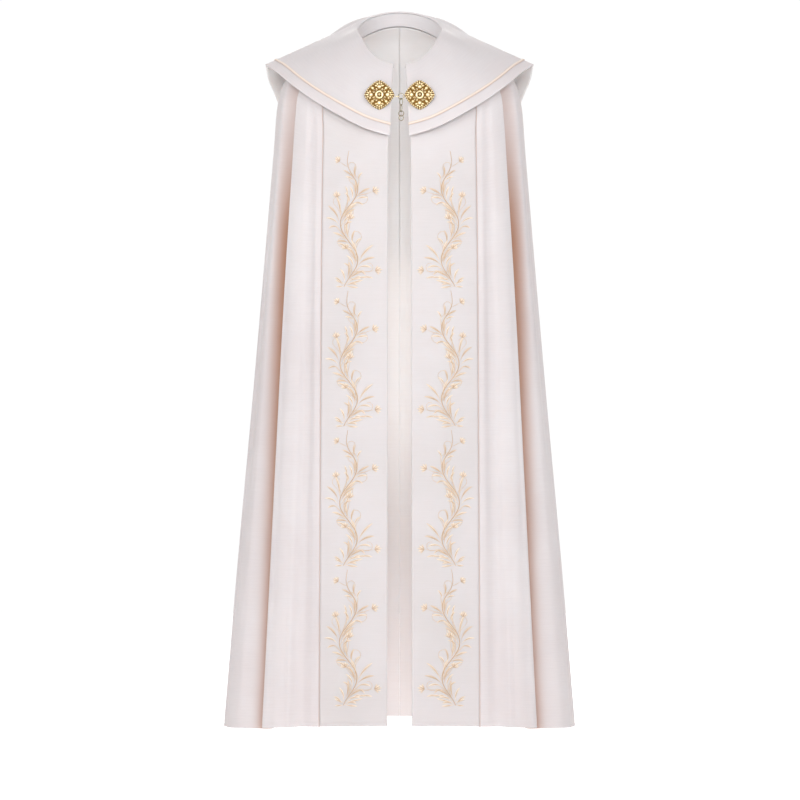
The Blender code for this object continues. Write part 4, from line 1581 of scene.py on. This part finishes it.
def braid_ribbon(name, cloth, node):
    """A flat woven ribbon with cross ribs between two rolled edges."""
    strip = slice(BRAID_ROW, BRAID_ROW + ROWS_ON_BRAID + 1)
    edge, out = cloth.points[strip], cloth.normals[strip]
    runs = runs_along(edge[2])
    count = int(runs[-1] / BRAID_RIB)
    columns = np.interp(np.linspace(0, runs[-1], count + 1), runs, np.arange(len(runs)))
    dome = [0.15, 0.75, 0.9, 1.0, 1.0, 1.0, 0.9, 0.75, 0.15]
    patch = Patch(edge, out)
    points, normals, rib = [], [], np.where(np.arange(count + 1) % 2, 1.0, 0.72)
    for row, tall in zip(np.linspace(0.0, ROWS_ON_BRAID, len(dome)), dome):
        p, n = patch.at(columns, np.full(count + 1, row))
        points.append(p + n * (BRAID_DOME * tall * rib)[:, None])
        normals.append(n)
    grid = Cloth(np.array(points), np.array(normals), np.zeros((len(dome), count + 1)))
    piece = wall(name, grid, 0.0004, ["braid"], node, lift=0.0005, rounding=0.3)
    # pale in the middle, darker over both rolled edges: the braid's darker edge line, and painted
    # shade where the edges roll away
    tone = np.repeat([0.85, 0.6, 0.25, 0.1, 0.1, 0.25, 0.5, 0.75, 0.9], count + 1)
    mark(piece.data, "tone", np.tile(tone, 2))
    mark(piece.data, "run", np.tile(np.linspace(0, runs[-1], count + 1), 2 * len(dome)))
    mark(piece.data, "across", 0.0)
    return piece


def make_trims(collar):
    """The braid on the collar and hood, the cord along its edge, and the piping by each band."""
    made = {}
    for word in ("left", "right"):
        cloth = collar[f"collar_{word}"][1]
        made[f"braid_{word}"] = braid_ribbon(f"braid_ribbon_{word}", cloth, f"collar_braid_{word}")
    made["hood_braid"] = braid_ribbon("braid_ribbon_hood", collar["hood"][1], "hood_braid")
    for key in ("collar_left", "collar_right", "hood"):
        cloth = collar[key][1]
        row = BRAID_ROW + ROWS_ON_BRAID
        edge = line_on(cloth.points[row], cloth.normals[row], 0.0008)
        made[f"{key}_cord"] = make_cord(f"{key}_braid_cord", edge, EDGE_CORD)
    for side, word in SIDES:
        rows = [cape_row(n, [section(n).band_share], side) for n in ROW_NUMBERS]
        points, normals = (np.array([row[k][0] for row in rows]) for k in (0, 1))
        seam = line_on(points, normals, 0.0006)
        name, node = f"seam_cord_{word}", f"piping_{word}"
        made[node] = make_cord(name, seam, SEAM_CORD, node)
    return made


# ---------------------------------------------------------------- the clasp
CAST_GILT, CAST_DARK = 0, 1  # which of the rosette's two finishes a face has
# radius and height of the turned shapes, from the foot up
CUP = [(0.0084, 0.0004), (0.0085, 0.0026), (0.0077, 0.0041), (0.0062, 0.0044), (0.0050, 0.0034)]
KNOB = [(0.0040, 0.0004), (0.0039, 0.0026), (0.0030, 0.0037), (0.0012, 0.0041)]
RIM_BEADS = 36
RIM_SHARE = 0.93  # of the way out to the rim, where its beads sit
KNOB_REACH = 0.0160
PETAL_TURN = 0.62  # radians from one petal of a fan to the next


class Seat(NamedTuple):
    """Where a rosette rests on the collar."""

    centre: Vector
    facing: Vector
    across: Vector
    upward: Vector


def rosette_reach(turn):
    """From the rosette's centre to its rim, a rounded lozenge."""
    side = abs(math.cos(turn)) ** CLASP_SQUARE + abs(math.sin(turn)) ** CLASP_SQUARE
    return CLASP_REACH * side ** (-1 / CLASP_SQUARE)


def ring_turns(count):
    """That many even turns round a ring, in radians."""
    return [2 * math.pi * k / count for k in range(count)]


def polar(reach, turn):
    """The way along and aside that a reach at a turn covers."""
    return reach * math.cos(turn), reach * math.sin(turn)


def skin(work, rings, finish=0, closed=False):
    """Faces from each ring of points to the next, and over the two ends where it is open."""
    pairs = list(zip(rings, rings[1:])) + ([(rings[-1], rings[0])] if closed else [])
    for a, b in pairs:
        for k in range(len(a)):
            m = (k + 1) % len(a)
            work.faces.new([a[k], a[m], b[m], b[k]]).material_index = finish
    if not closed:
        for end in (rings[0], rings[-1]):
            work.faces.new(end).material_index = finish


def mesh_of(work, name):
    """The finished mesh of a bmesh, its faces turned outwards."""
    bmesh.ops.recalc_face_normals(work, faces=work.faces)
    mesh = bpy.data.meshes.new(name)
    work.to_mesh(mesh)
    work.free()
    return mesh


class Relief:
    """Collects the small cast shapes of one rosette, in its own flat frame."""

    def __init__(self, seat):
        self.seat = seat
        self.work = bmesh.new()

    def place(self, x, y, z):
        """The point across, up and out from the middle of the rosette's back."""
        seat = self.seat
        return seat.centre + seat.across * x + seat.upward * y + seat.facing * z

    def ring(self, at, heading, spots):
        """Points from (along, aside, height), turned to the heading and moved to their place."""
        cos, sin = math.cos(heading), math.sin(heading)
        made = []
        for u, v, z in spots:
            spot = self.place(at[0] + u * cos - v * sin, at[1] + u * sin + v * cos, z)
            made.append(self.work.verts.new(spot))
        return made

    def lathe(self, at, profile, sides, finish):
        """A round closed shape from (radius, height) pairs."""
        rings = []
        for radius, height in profile:
            spots = [(*polar(radius, turn), height) for turn in ring_turns(sides)]
            rings.append(self.ring(at, 0.0, spots))
        skin(self.work, rings, finish)

    def bead(self, at, radius, base, sides=10):
        """A small ball, closed at its poles with a tiny flat."""
        profile = [(0.02 * radius, base - radius)]
        for t in np.linspace(-0.5, 0.5, 7)[1:-1] * math.pi:
            profile.append((radius * math.cos(t), base + radius * math.sin(t)))
        profile.append((0.02 * radius, base + radius))
        self.lathe(at, profile, sides, CAST_GILT)

    def leaf(self, at, length, width, heading, base, height):
        """A pointed domed petal with a sunk midrib."""
        rings = []
        for i in range(9):
            t = i / 8
            along = (t - 0.5) * length
            half = width / 2 * math.sin(math.pi * min(1.0, t**0.85)) ** 0.9 + 0.00005
            tall = height * math.sin(math.pi * (0.12 + 0.8 * t))
            rib = ((-1, 0.0), (-0.55, 0.85), (0, 0.55), (0.55, 0.85), (1, 0.0))
            spots = [(along, half * s, base + tall * up) for s, up in rib]
            spots += [(along, half * s, base - 0.0006) for s in (1, -1)]
            rings.append(self.ring(at, heading, spots))
        skin(self.work, rings, CAST_GILT)

    def wire(self, path, radius, sides=7):
        """Round wire through (x, y, z) points of the flat frame."""
        spots = [self.place(*p) for p in path]
        facing = self.seat.facing
        rings = []
        for i, spot in enumerate(spots):
            ahead, behind = spots[min(i + 1, len(spots) - 1)], spots[max(i - 1, 0)]
            aside = (ahead - behind).normalized().cross(facing).normalized()
            ring = []
            for turn in ring_turns(sides):
                out = aside * math.cos(turn) + facing * math.sin(turn)
                ring.append(self.work.verts.new(spot + out * radius))
            rings.append(ring)
        skin(self.work, rings, CAST_GILT)

    def plate(self, scale, low, high):
        """The rounded lozenge under it all, dark as the recesses are."""
        rings = []
        round_off = 0.0003
        levels = ((0.97, low), (1.0, low + round_off), (1.0, high - round_off), (0.97, high))
        for shrink, height in levels:
            share = scale * shrink
            spots = [(*polar(rosette_reach(t) * share, t), height) for t in ring_turns(96)]
            rings.append(self.ring((0, 0), 0.0, spots))
        skin(self.work, rings, CAST_DARK)


def scroll(x, y, z, radius, heading, turn):
    """A wire scroll that winds in on itself."""
    path = []
    for t in np.linspace(0.0, 1.0, 15):
        angle = heading + math.radians(turn) * t
        across, up = polar(radius * (1 - 0.72 * t), angle)
        path.append((x + across, y + up, z))
    return path


def cast_rosette(seat, name):
    """Filigree in the round: a cupped boss, four fans of petals round knobs, and a beaded rim."""
    cast = Relief(seat)
    base = CLASP_BASE
    cast.plate(0.985, 0.0, 0.0010)
    for turn in ring_turns(RIM_BEADS):
        cast.bead(polar(rosette_reach(turn) * RIM_SHARE, turn), 0.0019, base)
    cast.lathe((0, 0), CUP, 32, CAST_GILT)
    cast.lathe((0, 0), [(0.0047, 0.0030), (0.0047, 0.0036)], 24, CAST_DARK)
    cast.bead((0, 0), 0.0026, 0.0040, sides=14)
    for way in ring_turns(4):
        hub = polar(KNOB_REACH, way)
        cast.lathe(hub, KNOB, 20, CAST_GILT)
        for lean in (-2, -1, 0, 1, 2):
            turn = way + lean * PETAL_TURN
            petal = polar(0.0078 - 0.0005 * abs(lean), turn)
            cast.leaf((hub[0] + petal[0], hub[1] + petal[1]), 0.0060, 0.0037, turn, base, 0.0026)
        for lean in (-1, 1):
            middle = polar(0.0123, way + lean * 0.50)
            curl = scroll(*middle, base + 0.0006, 0.0022, way + lean * 2.4, lean * 360)
            cast.wire(curl, 0.0006)
        corner = way + math.pi / 4
        cast.leaf(polar(0.0190, corner), 0.0078, 0.0052, corner, base, 0.0028)
        cast.bead(polar(0.0140, corner), 0.0013, base + 0.0004)
    return mesh_of(cast.work, name)


def round_wire(name, path, radius, closed, sides=14):
    """A round wire through world points."""
    work = bmesh.new()
    count = len(path)
    normal = None
    rings = []
    for i, spot in enumerate(path):
        ahead = path[(i + 1) % count] if closed else path[min(i + 1, count - 1)]
        behind = path[i - 1] if closed else path[max(i - 1, 0)]
        way = (ahead - behind).normalized()
        if normal is None:
            normal = way.orthogonal().normalized()
        normal = (normal - way * normal.dot(way)).normalized()
        aside = way.cross(normal)
        ring = []
        for turn in ring_turns(sides):
            out = normal * math.cos(turn) + aside * math.sin(turn)
            ring.append(work.verts.new(spot + out * radius))
        rings.append(ring)
    skin(work, rings, closed=closed)
    return mesh_of(work, name)


def seat_from_frame(word):
    """Reads the rosette's flat back from the frame: its centre and the way it faces."""
    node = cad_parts[f"clasp_rosette_{word}"]
    turned = node.matrix_world.to_3x3()
    groups = {}
    for face in node.data.polygons:
        key = tuple(round(c, 2) for c in face.normal)
        groups.setdefault(key, []).append(face)
    back = max(groups.values(), key=lambda faces: sum(face.area for face in faces))
    size = sum(face.area for face in back)
    centre = sum((face.center * face.area for face in back), Vector()) / size
    facing = -(turned @ sum((face.normal * face.area for face in back), Vector())).normalized()
    aside = Vector((0, 0, 1)).cross(facing).normalized()
    return Seat(node.matrix_world @ centre, facing, aside, facing.cross(aside))


def make_clasp():
    """Both rosettes, the wire hook and eye at their tips, and the chain that hangs there."""
    for _, word in SIDES:
        seat = seat_from_frame(word)
        name = f"filigree_rosette_{word}"
        mesh = cast_rosette(seat, name)
        finished(name, mesh, ["gold", "patina"], f"clasp_rosette_{word}")
    left = seat_from_frame("left")
    tip = left.centre - left.across * CLASP_REACH + left.facing * (CLASP_BASE / 2)
    chain_y = tip.y
    near_wire = CHAIN_X - LINKS[0].half_width
    far_wire = CHAIN_X + LINKS[0].half_width
    for name, node, wire_x, side, legs in (
        ("wire_hook", "clasp_hook", near_wire, -1, (-tip.x, near_wire - HOOK_RETURN)),
        ("wire_eye", "clasp_eye", far_wire, 1, (tip.x, tip.x)),
    ):
        steps = [(x, -WIRE_BEND) for x in np.linspace(legs[0], wire_x, 5)]
        for turn in np.radians(np.linspace(-90, 90, 17))[1:-1]:
            steps.append((wire_x - side * WIRE_BEND * math.cos(turn), WIRE_BEND * math.sin(turn)))
        steps += [(x, WIRE_BEND) for x in np.linspace(wire_x, legs[1], 5)]
        path = [Vector((x, chain_y + y, CHAIN_TOP_Z)) for x, y in steps]
        mesh = round_wire(name, path, WIRE, False)
        finished(name, mesh, ["gold"], node)
    centre = Vector((CHAIN_X, chain_y, CHAIN_TOP_Z))
    for above, link in zip([None] + LINKS, LINKS):
        if above:
            centre.z -= above.half_height + link.half_height - 2 * WIRE - LINK_GAP
        turn = math.radians(link.twist)
        across = Vector((math.cos(turn), math.sin(turn), 0.0))
        path = []
        for angle in ring_turns(40):
            aside = across * (link.half_width * math.cos(angle))
            path.append(centre + aside + Vector((0, 0, link.half_height * math.sin(angle))))
        name = "polished_" + link.name
        mesh = round_wire(name, path, WIRE, True)
        finished(name, mesh, ["steel"], link.name, link.body)


# ---------------------------------------------------------------- cloth facts
def declare_cloth(cape, collar, vines, trims):
    """Lists each panel's cut size before it was sewn and hung, how it is held, and its trims;
    nothing reads the list.
    """
    sheets = []
    for word in ("left", "right"):
        neck, panel = ["neckband"], [f"front_panel_{word}"]
        piping = [trims[f"piping_{word}"]]
        edge = [trims[f"braid_{word}"], trims[f"collar_{word}_cord"]]
        sheets += [
            (cape[f"band_{word}"], (0.134, 1.30), 0.168, "hung", neck, [vines[word]]),
            (cape[f"front_{word}"], (0.42, 1.40), 0.405, "hung", neck, piping),
            (collar[f"collar_{word}"], (0.29, 0.24), 0.0475, "laid", panel, edge),
            (cape[f"back_{word}"], (0.81, 1.44), 0.57, "hung", neck, []),
        ]
    backs = ["back_panel_left", "back_panel_right"]
    edge = [trims["hood_braid"], trims["hood_cord"]]
    sheets += [
        (collar["hood"], (0.62, 0.56), 0.21, "laid", backs, edge),
        (collar["stand"], (0.50, 0.036), 0.0075, "hung", ["hood"], []),
    ]


def make_floor():
    """A pale floor under the wearer's feet."""
    mesh = bpy.data.meshes.new("floor")
    reach = 6.0
    corners = [(-reach, -reach), (reach, -reach), (reach, reach), (-reach, reach)]
    mesh.from_pydata([(x, y, FLOOR_Z) for x, y in corners], [], [(0, 1, 2, 3)])
    mesh.materials.append(floor_acrylic())
    floor = bpy.data.objects.new("floor", mesh)
    bpy.context.scene.collection.objects.link(floor)


make_camera()
make_studio()
make_floor()
cape_pieces = make_cape()
collar_pieces = make_collar()
vine_pieces = make_vine(cape_pieces)
trim_pieces = make_trims(collar_pieces)
make_clasp()
declare_cloth(cape_pieces, collar_pieces, vine_pieces, trim_pieces)
